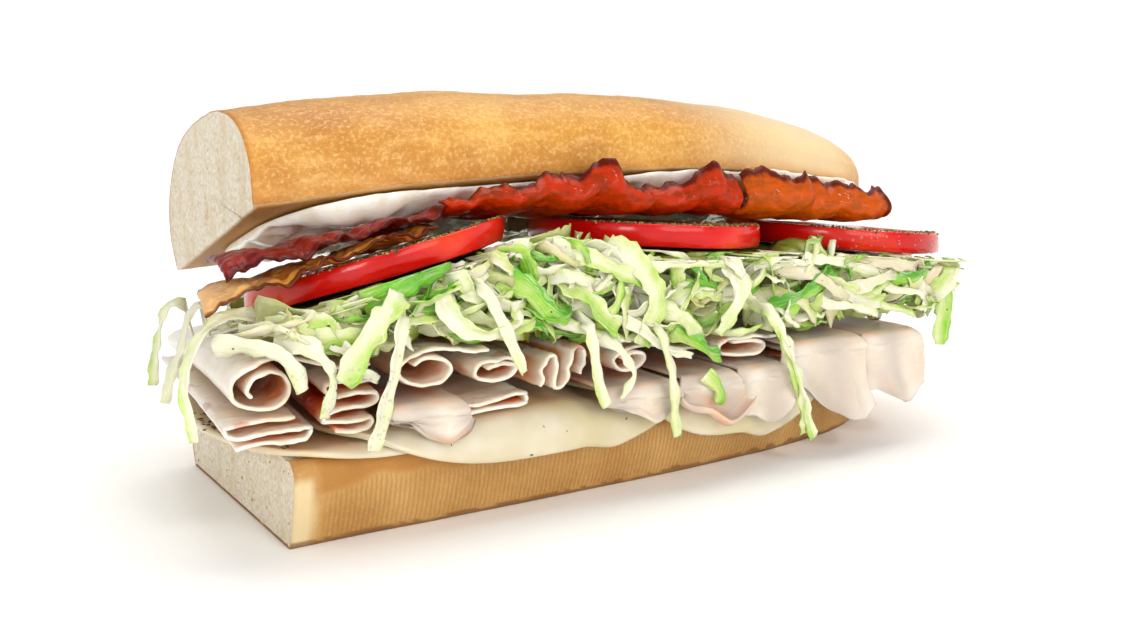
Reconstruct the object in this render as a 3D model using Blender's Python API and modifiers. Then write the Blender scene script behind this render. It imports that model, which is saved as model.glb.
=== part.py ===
"""A submarine sandwich, cut across at its left end.

X runs along the loaf, the open front faces -Y, and Z is up. The origin is the centre of the flat base.
Sizes and places are in millimetres; metres() turns them into metres as each mesh is made.
The fillings fan out of the back edge, so every layer is a surface between a front and a back height.
"""
import math
import random

import bmesh
import bpy
from mathutils import Vector, noise
from mathutils.bvhtree import BVHTree

MM = 0.001
GAP = 0.3

# Bottom half of the loaf, whose sides slope outwards like its baking tray
CUT_X = -100.0
CUT_SLANT = 0.076
BASE_HALF_WIDTH = 39.0
SIDE_BULGE = 5.0
CROWN_RADIUS = 4.0
BASE_TIP_X = 99.0
BOTTOM_HEIGHT = 22.0
SIDE_Y = BASE_HALF_WIDTH + SIDE_BULGE
CHEESE_HANG_Y = SIDE_Y + 1.6

# Top half of the loaf, hinged at the back and tilted open
HINGE_Y = 48.4
HINGE_Z = 52.9
TILT = math.radians(19.9)
TOP_CHORD = 74.3
TOP_HALF_WIDTH = 39.0
DOME_START = 8.0
DOME_RISE = 24.3
DOME_ROUNDNESS = 2.15
TOP_TIP_X = 111.5
FRONT_SWELL = 5.5
ARCH = ((-104, 0.0), (-63, 1.4), (-20, 1.9), (20, 1.5), (50, 0.0), (80, -2.8), (112, -5.2))

# Layer heights along the open front, as (x, z), and the even height that each has at the back
FRONT_Y = -44.0
BACK_Y = 46.0
FAN_CURVE = 1.4
TURKEY_BOTTOM = 26.6
TURKEY_TOP_BACK = 38.5
LETTUCE_TOP_BACK = 47.0
TURKEY_TOP = ((-126, 47), (-103, 49), (-78, 46.5), (-51, 44.5), (-21, 41), (11, 38.5), (68, 37), (105, 35))
LETTUCE_TOP = ((-120, 54), (-98, 57), (-66, 65), (-44, 70), (-30, 68), (18, 65), (60, 62), (110, 56))

CHEESE_THICK = 1.6
TURKEY_THICK = 1.0
TOMATO_THICK = 6.0
TOMATO_RADIUS = 32.5
BACON_THICK = 1.9
SHRED_THICK = 0.9
FRONT_SHREDS = 14
BACK_SHREDS = 7


def metres(point):
    return Vector(point) * MM


def mix(a, b, t):
    return a + (b - a) * t


def smooth(t):
    t = min(max(t, 0.0), 1.0)
    return t * t * (3.0 - 2.0 * t)


def along(stops, x):
    """The value at x of a smooth line through (x, value) stops."""
    if x <= stops[0][0]:
        return stops[0][1]
    for (x0, value0), (x1, value1) in zip(stops, stops[1:]):
        if x <= x1:
            t = (x - x0) / (x1 - x0)
            return mix(value0, value1, 0.5 * t + 0.5 * smooth(t))
    return stops[-1][1]


def fan(x, y, front, back):
    """Height of a layer that is front(x) high at the open side and sinks towards the back."""
    t = min(max((y - FRONT_Y) / (BACK_Y - FRONT_Y), 0.0), 1.0)
    return mix(along(front, x), back, t**FAN_CURVE)


def turkey_top(x, y):
    return fan(x, y, TURKEY_TOP, TURKEY_TOP_BACK)


def lettuce_top(x, y):
    return fan(x, y, LETTUCE_TOP, LETTUCE_TOP_BACK)


def under_bun(x, y):
    """Height of the top half's flat cut face."""
    return HINGE_Z + (HINGE_Y - y) * math.tan(TILT) + along(ARCH, x)


def wobble(x, y, z, scale, depth):
    """Gentle unevenness with swells about scale millimetres apart."""
    return depth * noise.noise(Vector((x, y, z)) / scale)


def clay(name, colour, roughness):
    material = bpy.data.materials.new(name)
    material.use_nodes = True
    shader = material.node_tree.nodes["Principled BSDF"]
    shader.inputs["Base Color"].default_value = (*colour, 1.0)
    shader.inputs["Roughness"].default_value = roughness
    return material


def finish(name, mesh, material, collection):
    mesh.materials.append(material)
    mesh.shade_smooth()
    mesh.set_sharp_from_angle(angle=math.radians(50))
    piece = bpy.data.objects.new(name, mesh)
    collection.objects.link(piece)
    return piece


def sheet(name, columns, rows, place, thickness, material, collection, pressed=None):
    """A thin slice: a grid bent by place(u, v), both 0 to 1, and thickened to both sides.

    Where the slice is pressed, pressed(x, y) is the share of its thickness that is left.
    """
    bm = bmesh.new()
    bmesh.ops.create_grid(bm, x_segments=columns, y_segments=rows, size=0.5)
    for vert in bm.verts:
        vert.co = metres(place(vert.co.x + 0.5, vert.co.y + 0.5))
    bmesh.ops.triangulate(bm, faces=bm.faces)
    mesh = bpy.data.meshes.new(name)
    bm.to_mesh(mesh)
    bm.free()
    piece = finish(name, mesh, material, collection)
    solidify = piece.modifiers.new("Thickness", "SOLIDIFY")
    solidify.thickness = thickness * MM
    solidify.offset = 0.0
    if pressed:
        group = piece.vertex_groups.new(name="pressed")
        for vert in mesh.vertices:
            group.add([vert.index], pressed(vert.co.x / MM, vert.co.y / MM), "REPLACE")
        solidify.vertex_group = group.name
    return piece


def loft(name, rings, material, collection):
    """A solid through rings of as many points each, with both end rings closed."""
    bm = bmesh.new()
    loops = [[bm.verts.new(metres(point)) for point in ring] for ring in rings]
    count = len(loops[0])
    for first, second in zip(loops, loops[1:]):
        for k in range(count):
            n = (k + 1) % count
            bm.faces.new((first[k], first[n], second[n], second[k]))
    for loop in (loops[0], loops[-1]):
        middle = bm.verts.new(sum((vert.co for vert in loop), Vector()) / count)
        for k in range(count):
            bm.faces.new((loop[k], loop[(k + 1) % count], middle))
    bmesh.ops.recalc_face_normals(bm, faces=bm.faces)
    bmesh.ops.triangulate(bm, faces=bm.faces)
    mesh = bpy.data.meshes.new(name)
    bm.to_mesh(mesh)
    bm.free()
    return finish(name, mesh, material, collection)


def round_end(t, power, root):
    """Width left at t of the way to a rounded tip."""
    return (1.0 - t**power) ** (1.0 / root)


def stations(count):
    """Places from 0 to almost 1, closer together towards the rounded tip."""
    return [0.996 * math.sin(0.5 * math.pi * k / count) for k in range(count + 1)]


def bottom_outline():
    """Right half of the bottom bun's section, as (y, z) from its base to its top."""
    corner_z = BOTTOM_HEIGHT - CROWN_RADIUS
    outline = [(0.0, 0.0), (0.55 * BASE_HALF_WIDTH, 0.0)]
    for k in range(4):
        outline.append((BASE_HALF_WIDTH + SIDE_BULGE * math.sin(0.5 * math.pi * k / 4), corner_z * k / 4))
    for k in range(4):
        turn = math.radians(30 * k)
        outline.append((
            SIDE_Y - CROWN_RADIUS * (1.0 - math.cos(turn)),
            corner_z + CROWN_RADIUS * math.sin(turn),
        ))
    outline += [(0.5 * BASE_HALF_WIDTH, BOTTOM_HEIGHT), (0.0, BOTTOM_HEIGHT)]
    return outline


def bread_bottom(collection):
    half = bottom_outline()
    ring = half + [(-y, z) for y, z in reversed(half[1:-1])]
    rings = []
    for t in stations(15):
        points = []
        for y, z in ring:
            tip = BASE_TIP_X + max(abs(y) - BASE_HALF_WIDTH, 0.0) + 5.0 * smooth(z / BOTTOM_HEIGHT)
            side = y * round_end(t, 5.0, 3.0)
            side -= math.copysign(abs(wobble(CUT_X + t * tip * 2, y, z, 35, 1.2)) * min(abs(y) / 30, 1.0), y)
            cut = CUT_X + CUT_SLANT * side
            points.append((mix(cut, tip, t), side, z))
        rings.append(points)
    material = clay("soft white roll, tray side", (0.56, 0.33, 0.10), 0.6)
    return loft("bread_bottom", rings, material, collection)


def dome_outline():
    """The top bun's section, as (distance from the back corner, height over the cut face)."""
    centre = 0.5 * TOP_CHORD
    outline = [(centre, 0.0), (0.75 * TOP_CHORD, 0.0), (TOP_CHORD - 1.5, 0.0), (TOP_CHORD, 1.2)]
    power = 2.0 / DOME_ROUNDNESS
    for k in range(15):
        turn = math.pi * k / 14
        across = math.copysign(abs(math.cos(turn)) ** power, math.cos(turn))
        outline.append((centre + TOP_HALF_WIDTH * across, DOME_START + DOME_RISE * math.sin(turn) ** power))
    outline += [(0.0, 1.2), (1.5, 0.0), (0.25 * TOP_CHORD, 0.0)]
    return outline


def bread_top(collection):
    centre = 0.5 * TOP_CHORD
    rings = []
    for t in stations(17):
        points = []
        for across, up in dome_outline():
            width = round_end(t, 5.0, 3.0)
            height = mix(0.12, 1.0, round_end(t, 4.0, 2.8)) * (1.0 - 0.09 * smooth(1.6 * t - 0.15))
            swell = FRONT_SWELL * smooth(across / centre - 1.0) * smooth(5.0 * t)
            back = centre + (across - centre + swell) * width
            x = mix(CUT_X, TOP_TIP_X, t)
            rise = up * height + wobble(x, across, up, 30, 1.6) * smooth(up / 12)
            y = HINGE_Y - back * math.cos(TILT) + rise * math.sin(TILT)
            z = HINGE_Z + back * math.sin(TILT) + rise * math.cos(TILT) + along(ARCH, x)
            points.append((x + CUT_SLANT * y * (1.0 - t), y, z))
        rings.append(points)
    material = clay("soft white roll, golden crust", (0.80, 0.45, 0.13), 0.55)
    return loft("bread_top", rings, material, collection)


def bump(x, y, at_x, at_y, half_x, half_y):
    return math.exp(-(((x - at_x) / half_x) ** 2) - ((y - at_y) / half_y) ** 2)


def mayonnaise_thick(x, y):
    """Thickness of the spread, with the blobs that swell out at the front."""
    thick = 2.6 + wobble(x, y, 0, 14, 1.6)
    thick += 5.0 * bump(x, y, -74, -23, 17, 9)
    thick += 2.0 * bump(x, y, 22, -20, 16, 10)
    thick += 1.5 * bump(x, y, 55, -22, 12, 8)
    return thick


# Where the spread swells out of the front, as x and half length
MAYONNAISE_SWELLS = ((-72.0, 26.0), (22.0, 18.0), (52.0, 10.0))
MAYONNAISE_FRONT_Y = -23.5


def mayonnaise(collection):
    start_x, end_x, back_y = -93.0, 100.0, 41.0
    columns, rows = 18, 8
    rings = []
    for i in range(columns + 1):
        t = i / columns
        x = mix(start_x, end_x, t)
        narrow = round_end(abs(2 * t - 1) * 0.995, 8.0, 3.0)
        swell = max(bump(x, 0, at_x, 0, half_x, 1) for at_x, half_x in MAYONNAISE_SWELLS)
        front_y = MAYONNAISE_FRONT_Y - 3.5 * swell
        middle_y = 0.5 * (front_y + back_y)
        half = 0.5 * (back_y - front_y) * narrow
        top = []
        bottom = []
        for j in range(rows + 1):
            y = middle_y + half * (2.0 * j / rows - 1.0)
            level = under_bun(x, y) - GAP - 0.1
            edge = 0.35 if j in (0, rows) else 1.0
            top.append((x, y, level - (0.6 if j in (0, rows) else 0.0)))
            low = level - 0.6 - mayonnaise_thick(x, y) * edge * mix(0.3, 1.0, narrow)
            bottom.append((x, y, min(clear_of_tomatoes(x, y, low, 0.9), level - 1.0)))
        rings.append(top + bottom[::-1])
    return loft("mayonnaise", rings, clay("mayonnaise", (0.86, 0.82, 0.72), 0.25), collection)


def disc(u, v):
    """A unit square's point moved onto the unit disc."""
    a, b = 2.0 * u - 1.0, 2.0 * v - 1.0
    return a * math.sqrt(1.0 - 0.5 * b * b), b * math.sqrt(1.0 - 0.5 * a * a)


def rounded_square(u, v, squareness):
    """A unit square's point moved onto a disc whose sides are flattened by squareness."""
    a, b = disc(u, v)
    radius = math.hypot(a, b)
    if radius < 1e-6:
        return 0.0, 0.0
    reach = (abs(a / radius) ** squareness + abs(b / radius) ** squareness) ** (-1.0 / squareness)
    return a * reach, b * reach


# Cheese slices as centre x and y, half sizes in x and y, squareness, and the x where the slice steps down
# off the slice beneath it
CHEESES = (
    (-76.0, -1.0, 45.0, 46.0, 2.4, None),
    (-39.0, -9.0, 58.0, 47.5, 2.6, -28.0),
    (24.0, -13.0, 41.0, 47.0, 2.4, 22.0),
)


def drape(x, reach, lift):
    """A point of a slice that lies on the bottom bun and hangs over its front edge."""
    radius = CROWN_RADIUS + lift
    turn = 0.5 * math.pi * radius
    straight = -reach - (CHEESE_HANG_Y - CROWN_RADIUS)
    if straight <= 0.0:
        return x, reach, BOTTOM_HEIGHT + lift
    if straight < turn:
        angle = straight / radius
        y = -(CHEESE_HANG_Y - CROWN_RADIUS) - radius * math.sin(angle)
        return x, y, BOTTOM_HEIGHT - CROWN_RADIUS + radius * math.cos(angle)
    return x, -CHEESE_HANG_Y - lift, BOTTOM_HEIGHT - CROWN_RADIUS - (straight - turn)


def cheeses(collection):
    material = clay("provolone, sliced", (0.83, 0.77, 0.58), 0.4)
    for number, (at_x, at_y, half_x, half_y, squareness, step_x) in enumerate(CHEESES, 1):
        def place(u, v):
            across, back = rounded_square(u, v, squareness)
            x = at_x + half_x * across
            lift = GAP + 0.5 * CHEESE_THICK + wobble(x, back * 40, 0, 20, 0.2) + 0.35
            if step_x is not None:
                lift += (CHEESE_THICK + 3 * GAP) * smooth((step_x + 14 - x) / 14)
            overhang = max(-96 - x, 0.0)
            x, y, z = drape(x, at_y + half_y * back, lift)
            return drawn_in(x, y), y, z + 0.004 * overhang**2
        sheet(f"cheese_{number}", 7, 10, place, CHEESE_THICK, material, collection)


# Tomato slices as centre x, y, z of the middle plane, then the rise to the right of the view and the bend
TOMATOES = (
    (-66.0, -12.0, 60.6, 0.29, 0.006),
    (18.0, -12.0, 63.0, -0.045, 0.012),
    (91.0, -10.0, 55.9, -0.08, 0.011),
)
VIEW_RIGHT = Vector((0.837, -0.548))
TOMATO_DROP = 0.09


def tomato_height(number, x, y):
    """Height of a slice's middle plane: straight along the front, bending down towards the back."""
    at_x, at_y, at_z, rise, bend = TOMATOES[number]
    out = Vector((x - at_x, y - at_y))
    sideways = out.dot(VIEW_RIGHT)
    inwards = out.dot(Vector((-VIEW_RIGHT.y, VIEW_RIGHT.x)))
    return at_z + rise * sideways - TOMATO_DROP * inwards - bend * max(inwards, 0.0) ** 2


def clear_of_tomatoes(x, y, height, room):
    """The height, moved to keep room over any tomato slice there, or under it where room is negative."""
    side = math.copysign(1.0, room)
    for number, (at_x, at_y, *_) in enumerate(TOMATOES):
        if math.hypot(x - at_x, y - at_y) < TOMATO_RADIUS + 6.0:
            face = tomato_height(number, x, y) + side * 0.5 * TOMATO_THICK + room
            height = side * max(side * height, side * face)
    return height


def tomatoes(collection):
    material = clay("ripe tomato, sliced", (0.62, 0.03, 0.02), 0.2)
    for number, (at_x, at_y, *_) in enumerate(TOMATOES):
        def place(u, v):
            across, back = disc(u, v)
            x = at_x + TOMATO_RADIUS * across
            y = at_y + TOMATO_RADIUS * back
            return x, y, tomato_height(number, x, y)
        piece = sheet(f"tomato_{number + 1}", 7, 7, place, TOMATO_THICK, material, collection)
        bevel = piece.modifiers.new("Rounded rim", "BEVEL")
        bevel.width = 0.9 * MM
        bevel.segments = 1
        bevel.angle_limit = math.radians(50)


def folds(x0, x1, z0, z1, layers, seed):
    """A slice folded to and fro: uneven runs between x0 and x1, joined by round turns."""
    draw = random.Random(seed)
    gaps = [draw.uniform(0.8, 1.25) for _ in range(layers - 1)]
    levels = [z0 + (z1 - z0) * sum(gaps[:layer]) / sum(gaps) for layer in range(layers)]
    inset = 0.75 * (z1 - z0) / (layers - 1)
    ends = [(x0 + inset + draw.uniform(0, 4), x1 - inset - draw.uniform(0, 4)) for _ in range(layers)]
    points = []
    for layer, (left, right) in enumerate(ends):
        runs_right = layer % 2 == 0
        for k in range(3):
            t = k / 2 if runs_right else 1.0 - k / 2
            sag = 0.4 * math.sin(math.pi * t) * math.sin(2.0 * seed + 1.3 * layer)
            points.append((mix(left, right, t), levels[layer] + sag))
        if layer < layers - 1:
            side = 1.0 if runs_right else -1.0
            start = right if runs_right else left
            following = ends[layer + 1][1 if runs_right else 0]
            half = 0.5 * (levels[layer + 1] - levels[layer])
            for k in range(1, 4):
                angle = math.pi * k / 4
                x = mix(start, following, k / 4) + side * half * 1.5 * math.sin(angle)
                points.append((x, levels[layer] + half - half * math.cos(angle)))
    return points


def pleats(x0, x1, z0, z1, layers, seed):
    """The same slice gathered sideways, so that its runs stand up and lean over."""
    return [(x + 0.25 * (z - z0), z) for z, x in folds(z0, z1, x0, x1, layers, seed)]


def roll(at_x, at_z, half_x, half_z, turns, tail_x, tail_z):
    """A slice rolled up, seen end on, with its free end running to tail_x."""
    points = []
    count = int(10 * turns)
    for k in range(count + 1):
        t = k / count
        angle = 0.5 * math.pi + 2.0 * math.pi * turns * (1.0 - t)
        size = mix(1.0 - 0.42 * turns, 1.0, t)
        points.append((at_x + half_x * size * math.cos(angle), at_z + half_z * size * math.sin(angle)))
    top_z = at_z + half_z
    for k in range(1, 6):
        t = k / 5
        level = mix(top_z, tail_z, smooth(t))
        points.append((mix(at_x, tail_x, t), level + 0.35 * math.sin(2 * math.pi * t)))
    return points


# Turkey slices, folded or rolled, as they show along the open front
TURKEYS = (
    roll(-110.3, 41.2, 8.8, 6.1, 1.35, -84.0, 43.4),
    folds(-121, -98, 28.5, 33.6, 3, 3),
    folds(-98, -81.5, 28.6, 40.0, 5, 5),
    roll(-69.0, 40.3, 8.8, 4.5, 1.15, -53.0, 43.5),
    folds(-80, -41, 28.5, 30.7, 2, 8),
    roll(-50.0, 37.7, 7.6, 3.0, 1.15, -42.5, 39.8),
    pleats(-39, -27, 29.0, 40.6, 4, 7),
    roll(-10.5, 35.4, 5.6, 3.3, 1.2, 12.0, 36.4),
    roll(27.0, 34.4, 9.5, 2.7, 1.1, 39.0, 36.0),
    folds(41, 90, 28.2, 30.6, 2, 21),
)


def smooth_path(points, t):
    """The point at t, 0 to 1, of a Catmull-Rom line through points."""
    spans = len(points) - 1
    k = min(int(t * spans), spans - 1)
    f = t * spans - k
    a, b, c, d = (points[min(max(k + offset, 0), spans)] for offset in (-1, 0, 1, 2))
    return tuple(
        0.5 * (2 * q + (r - p) * f + (2 * p - 5 * q + 4 * r - s) * f**2 + (3 * q - p - 3 * r + s) * f**3)
        for p, q, r, s in zip(a, b, c, d)
    )


def drawn_in(x, y):
    """The fillings are shorter at the back, so both ends draw in with depth."""
    depth = y - FRONT_Y
    return x + 0.19 * depth * smooth((-20.0 - x) / 90.0) - 0.16 * depth * smooth((x - 20.0) / 80.0)


def pressed_share(x, y):
    """Share of its height at the open front that the turkey keeps at depth y, where it is pressed flatter."""
    return min((turkey_top(x, y) - TURKEY_BOTTOM) / (along(TURKEY_TOP, x) - TURKEY_BOTTOM), 1.0)


def fanned(x, y, z):
    """Height at depth y of turkey that is z high at the open front."""
    return TURKEY_BOTTOM + (z - TURKEY_BOTTOM) * pressed_share(x, y)


def turkey_front(x, z):
    """How far the meat reaches out of the open front, uneven from fold to fold."""
    return -46.6 + wobble(x, 0, z * 1.6, 9, 2.6)


def folded_turkey(number, path, material, collection):
    def place(u, v):
        x, z = smooth_path(path, u)
        y = mix(turkey_front(x, z), 44.0 + wobble(x, 9, z, 12, 2.0), v)
        return drawn_in(x, y), y, fanned(x, y, z)
    sheet(f"turkey_{number}", len(path) - 1, 2, place, TURKEY_THICK, material, collection, pressed_share)


# Turkey flaps that hang over the front, as x of both sides, the height inside, how low each side hangs,
# how far out the flap hangs, and the radius of the curl at its lower end
FLAPS = (
    (-79.5, -62.5, 32.9, 27.0, 23.5, 50.4, 0.0),
    (-21.0, -1.0, 29.6, 23.0, 20.5, 52.4, 0.0),
    (3.0, 19.5, 29.6, 20.5, 17.5, 52.4, 2.3),
    (22.0, 36.5, 29.6, 14.0, 15.5, 52.4, 0.0),
    (39.5, 65.0, 34.0, 21.0, 7.0, 51.2, 0.0),
    (68.0, 87.0, 33.4, 14.0, 12.0, 51.2, 0.0),
)
FLAP_BEND = 3.2
FLAP_ROWS = 9
BEND_START = 3 / FLAP_ROWS
BEND_END = 5 / FLAP_ROWS
CURL_START = 0.25


def flap(number, left_x, right_x, inside_z, left_low, right_low, out_y, curl, material, collection):
    """A slice that lies flat inside, bends over the front edge and hangs, its end straight or curled up."""
    hang = CURL_START if curl else 1.0

    def place(u, v):
        x = mix(left_x, right_x, u)
        low = mix(left_low, right_low, u) + 1.8 * math.sin(7.0 * u)
        level = fanned(x, FRONT_Y, inside_z)
        if v < BEND_START + 0.01:
            y = mix(43.0, FLAP_BEND - out_y, min(v / BEND_START, 1.0))
            return drawn_in(x, y), y, fanned(x, y, inside_z)
        if v < BEND_END + 0.01:
            angle = 0.5 * math.pi * min((v - BEND_START) / (BEND_END - BEND_START), 1.0)
            y = FLAP_BEND - out_y - FLAP_BEND * math.sin(angle)
            return x, y, level - FLAP_BEND + FLAP_BEND * math.cos(angle)
        t = (v - BEND_END) / (1.0 - BEND_END)
        x += 0.12 * t * (x - mix(left_x, right_x, 0.5))
        pleat = 0.9 * math.sin(11.0 * u + 1.0) * t
        if t < hang + 0.01:
            return x, pleat - out_y, mix(level - FLAP_BEND, low + curl, t / hang)
        angle = 0.85 * math.pi * (t - hang) / (1.0 - hang)
        return x, pleat - out_y - curl * (1.0 - math.cos(angle)), low + curl - curl * math.sin(angle)
    sheet(f"turkey_{number}", 6, FLAP_ROWS, place, TURKEY_THICK, material, collection)


def turkeys(collection):
    material = clay("roast turkey breast, thin sliced", (0.80, 0.68, 0.58), 0.45)
    for number, path in enumerate(TURKEYS, 1):
        folded_turkey(number, path, material, collection)
    for number, sizes in enumerate(FLAPS, len(TURKEYS) + 1):
        flap(number, *sizes, material, collection)


# Bacon strips. Each has x of its ends, the front edge's line as (x, z), and the y of the front edge, then
# the point that the strip bends towards and its inner edge, as (y, z) at the left and at the right end
BACONS = (
    (
        -121.0, -64.0,
        ((-121, 58.5), (-113, 60.8), (-104, 63.4), (-95, 66), (-85, 68.8), (-75, 71.2), (-64, 73.6)),
        -39.0, ((-31, 60.5), (-30, 71.5)), ((-20, 59.5), (-23, 68.2)),
    ),
    (
        -116.0, -59.5, ((-116, 65.5), (-108, 67.4), (-98, 69.2), (-86, 71.8), (-73, 74.2), (-59, 77)),
        -37.0, ((-28, 69), (-28, 75.5)), ((-10, 65), (-17, 69.2)),
    ),
    (
        -58.0, 31.5,
        (
            (-58, 78), (-36, 81), (-16, 83), (-10, 86), (-5, 83),
            (-1, 78), (8, 76.5), (17, 80), (24, 83), (33, 79),
        ),
        -32.0, ((-41, 79), (-45, 66.5)), ((-14, 71.5), (-12, 69.5)),
    ),
    (
        36.5, 91.0,
        ((34, 78.5), (42, 80.5), (50, 80), (54, 77), (62, 78), (67, 76), (75, 74), (88, 73), (92, 72)),
        -33.0, ((-45, 65), (-46, 60)), ((-13, 68), (-14, 64)),
    ),
)


def bacon_point(strip, u, v):
    """A point of a strip, u along it and v from its crisp front edge to its inner edge."""
    start_x, end_x, edge, edge_y, bends, inners = strip
    x = mix(start_x, end_x, u)
    bend_y, bend_z = (mix(a, b, u) for a, b in zip(*bends))
    inner_y, inner_z = (mix(a, b, u) for a, b in zip(*inners))
    edge_w, bend_w, inner_w = (1.0 - v) ** 2, 2.0 * v * (1.0 - v), v * v
    ruffle = mix(0.9, 0.4, v) * math.sin(x * 0.37 + 2.2 * v + start_x)
    y = edge_w * (edge_y + 1.5 * math.sin(x * 0.21)) + bend_w * bend_y + inner_w * inner_y
    z = edge_w * along(edge, x) + bend_w * bend_z + inner_w * inner_z
    ragged = 2.0 * (v - 0.5) * math.sin(2.3 * start_x) * (2.0 * u - 1.0)
    return drawn_in(x, y) + ragged, y, z + ruffle


def bacons(collection):
    material = clay("crisp bacon", (0.36, 0.05, 0.02), 0.3)
    for number, strip in enumerate(BACONS, 1):
        length = strip[1] - strip[0]
        sheet(
            f"bacon_{number}", int(length / 4.2), 4, lambda u, v: bacon_point(strip, u, v),
            BACON_THICK, material, collection,
        )


# Lettuce that hangs out of the heap, as places along each shred, its width and its turn in degrees
HANGING = (
    (((-70, -36, 56), (-75, -47, 60), (-80, -51.5, 59), (-87, -53, 52), (-95, -53, 42)), 8.5, 12),
    (((-74, -38, 55), (-79, -50, 55), (-83, -53.5, 42), (-88, -53, 26)), 5.0, -20),
    (((-58, -36, 58), (-57, -48, 60), (-53, -52.5, 52), (-47, -53, 36)), 4.2, 25),
    (((-28, -38, 50), (-27, -51, 47), (-26, -53, 37), (-23, -53, 26)), 4.0, 10),
    (((-6, -38, 45), (-6, -52, 44), (-4, -56, 31), (-2, -56, 16)), 4.0, -15),
    (((28, -38, 46), (31, -52, 44), (37, -56.3, 27), (45, -55.5, 8)), 4.5, 20),
    (((33, -40, 42), (34, -54, 38), (39, -56.5, 22), (41, -55.5, 10)), 3.6, -25),
    (((-100, -24, 49), (-113, -15, 56), (-119, -15, 45), (-123, -15, 33)), 7.0, 80),
    (((-100, -36, 53), (-115, -34, 56), (-125, -36, 45), (-124.5, -38, 29)), 5.0, 60),
    (((-98, 6, 46), (-112, 8, 52), (-117, 8, 42), (-118, 8, 32)), 6.0, 85),
    (((86, -34, 48), (98, -46, 47), (105, -45, 41), (103, -46, 26)), 8.0, 15),
    (((84, -30, 51), (92, -42, 51), (101, -44, 49), (110, -42, 42)), 5.0, -30),
    (((90, -10, 46), (108, -22, 47), (119, -26, 43), (121, -30, 30)), 7.0, 50),
)


def lettuce_core(collection):
    """The packed middle of the heap."""
    start_x, end_x, columns, rows = -106.0, 108.0, 24, 8
    rings = []
    for i in range(columns + 1):
        t = i / columns
        x = mix(start_x, end_x, t)
        narrow = round_end(abs(2 * t - 1) * 0.99, 8.0, 2.5)
        top = []
        bottom = []
        for j in range(rows + 1):
            across = 2.0 * j / rows - 1.0
            y = 1.0 + 40.0 * across * narrow + wobble(x, across, 0, 9, 2.5) * abs(across)
            low = turkey_top(x, y) + 0.4
            high = lettuce_top(x, y) - 1.2 + wobble(x, y, 0, 8, 1.5)
            high = max(clear_of_tomatoes(drawn_in(x, y), y, high, -3.0), low + 1.2)
            round_off = 0.2 * (high - low) * (1.0 if j in (0, rows) else 0.0)
            bottom.append((drawn_in(x, y), y, low + round_off))
            top.append((drawn_in(x, y), y, high - round_off))
        rings.append(top + bottom[::-1])
    material = clay("iceberg lettuce, shredded", (0.55, 0.66, 0.22), 0.4)
    return loft("lettuce", rings, material, collection)


def heap_shred(draw, side):
    """Places, width and turn of a shred that bulges out of the heap's front (side -1) or back (side 1)."""
    x = draw.uniform(-100, 100)
    y_in = 36.0 if side > 0 else -37.0
    low, high = turkey_top(x, side * 44.0) + 2.5, lettuce_top(x, side * 44.0) - 2.5
    z = mix(low, high, draw.random())
    length = draw.uniform(14, 30)
    slope = draw.uniform(-0.6, 0.6)
    out = side * draw.uniform(45.5, 49.5)
    places = []
    for k in range(5):
        t = k / 4
        along_x = x + length * (t - 0.5)
        level = z + slope * length * (t - 0.5) + draw.uniform(-1.5, 1.5)
        level = min(max(level, turkey_top(along_x, side * 44) + 1.6), lettuce_top(along_x, side * 44) - 1.6)
        places.append((along_x, mix(y_in, out, math.sin(math.pi * t) ** 0.6), level))
    return places, draw.uniform(3.0, 7.0), draw.uniform(-50, 50)


def shred(places, width, turn, material, collection):
    """A strip of leaf along places, tapered to its tip and turned about its own line."""
    def place(u, v):
        here = Vector(smooth_path(places, u))
        before, after = (Vector(smooth_path(places, min(max(u + step, 0.0), 1.0))) for step in (-0.02, 0.02))
        ahead = (after - before).normalized()
        across = ahead.cross(Vector((0, 1, 0))) if abs(ahead.y) < 0.9 else Vector((0, 0, 1))
        across.normalize()
        angle = math.radians(turn) * math.sin(3.0 * u)
        facing = across * math.cos(angle) + ahead.cross(across) * math.sin(angle)
        half = 0.5 * width * (1.0 - 0.45 * u) * (1.0 + 0.15 * math.sin(9.0 * u))
        return here + facing * half * (2.0 * v - 1.0)
    return sheet("shred", 7, 1, place, SHRED_THICK, material, collection)


def world_tree(piece):
    return BVHTree.FromObject(piece, bpy.context.evaluated_depsgraph_get())


def clear_of(piece, trees):
    """Whether a shred crosses no other piece and keeps its gap to each."""
    bpy.context.view_layer.update()
    graph = bpy.context.evaluated_depsgraph_get()
    own = BVHTree.FromObject(piece, graph)
    mesh = piece.evaluated_get(graph).to_mesh()
    corners = [vert.co.copy() for vert in mesh.vertices]
    for tree in trees:
        if own.overlap(tree):
            return False
        if any(tree.find_nearest(corner, GAP * MM)[0] is not None for corner in corners):
            return False
    return True


def fits(sizes, material, loose, trees):
    """Makes a shred and keeps it only where it fits."""
    piece = shred(*sizes, material, loose)
    if clear_of(piece, trees):
        return 1
    bpy.data.objects.remove(piece)
    return 0


def applied(piece):
    """The piece's modifiers made part of its mesh."""
    graph = bpy.context.evaluated_depsgraph_get()
    mesh = bpy.data.meshes.new_from_object(piece.evaluated_get(graph))
    piece.modifiers.clear()
    piece.data = mesh


def keep_largest(mesh):
    """Drops scraps that the union left apart from the main body."""
    bm = bmesh.new()
    bm.from_mesh(mesh)
    bodies = []
    left = set(bm.verts)
    while left:
        body = {left.pop()}
        edge = set(body)
        while edge:
            edge = {e.other_vert(v) for v in edge for e in v.link_edges} & left
            left -= edge
            body |= edge
        bodies.append(body)
    bodies.sort(key=len)
    bmesh.ops.delete(bm, geom=[vert for body in bodies[:-1] for vert in body], context="VERTS")
    bm.to_mesh(mesh)
    bm.free()


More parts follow.
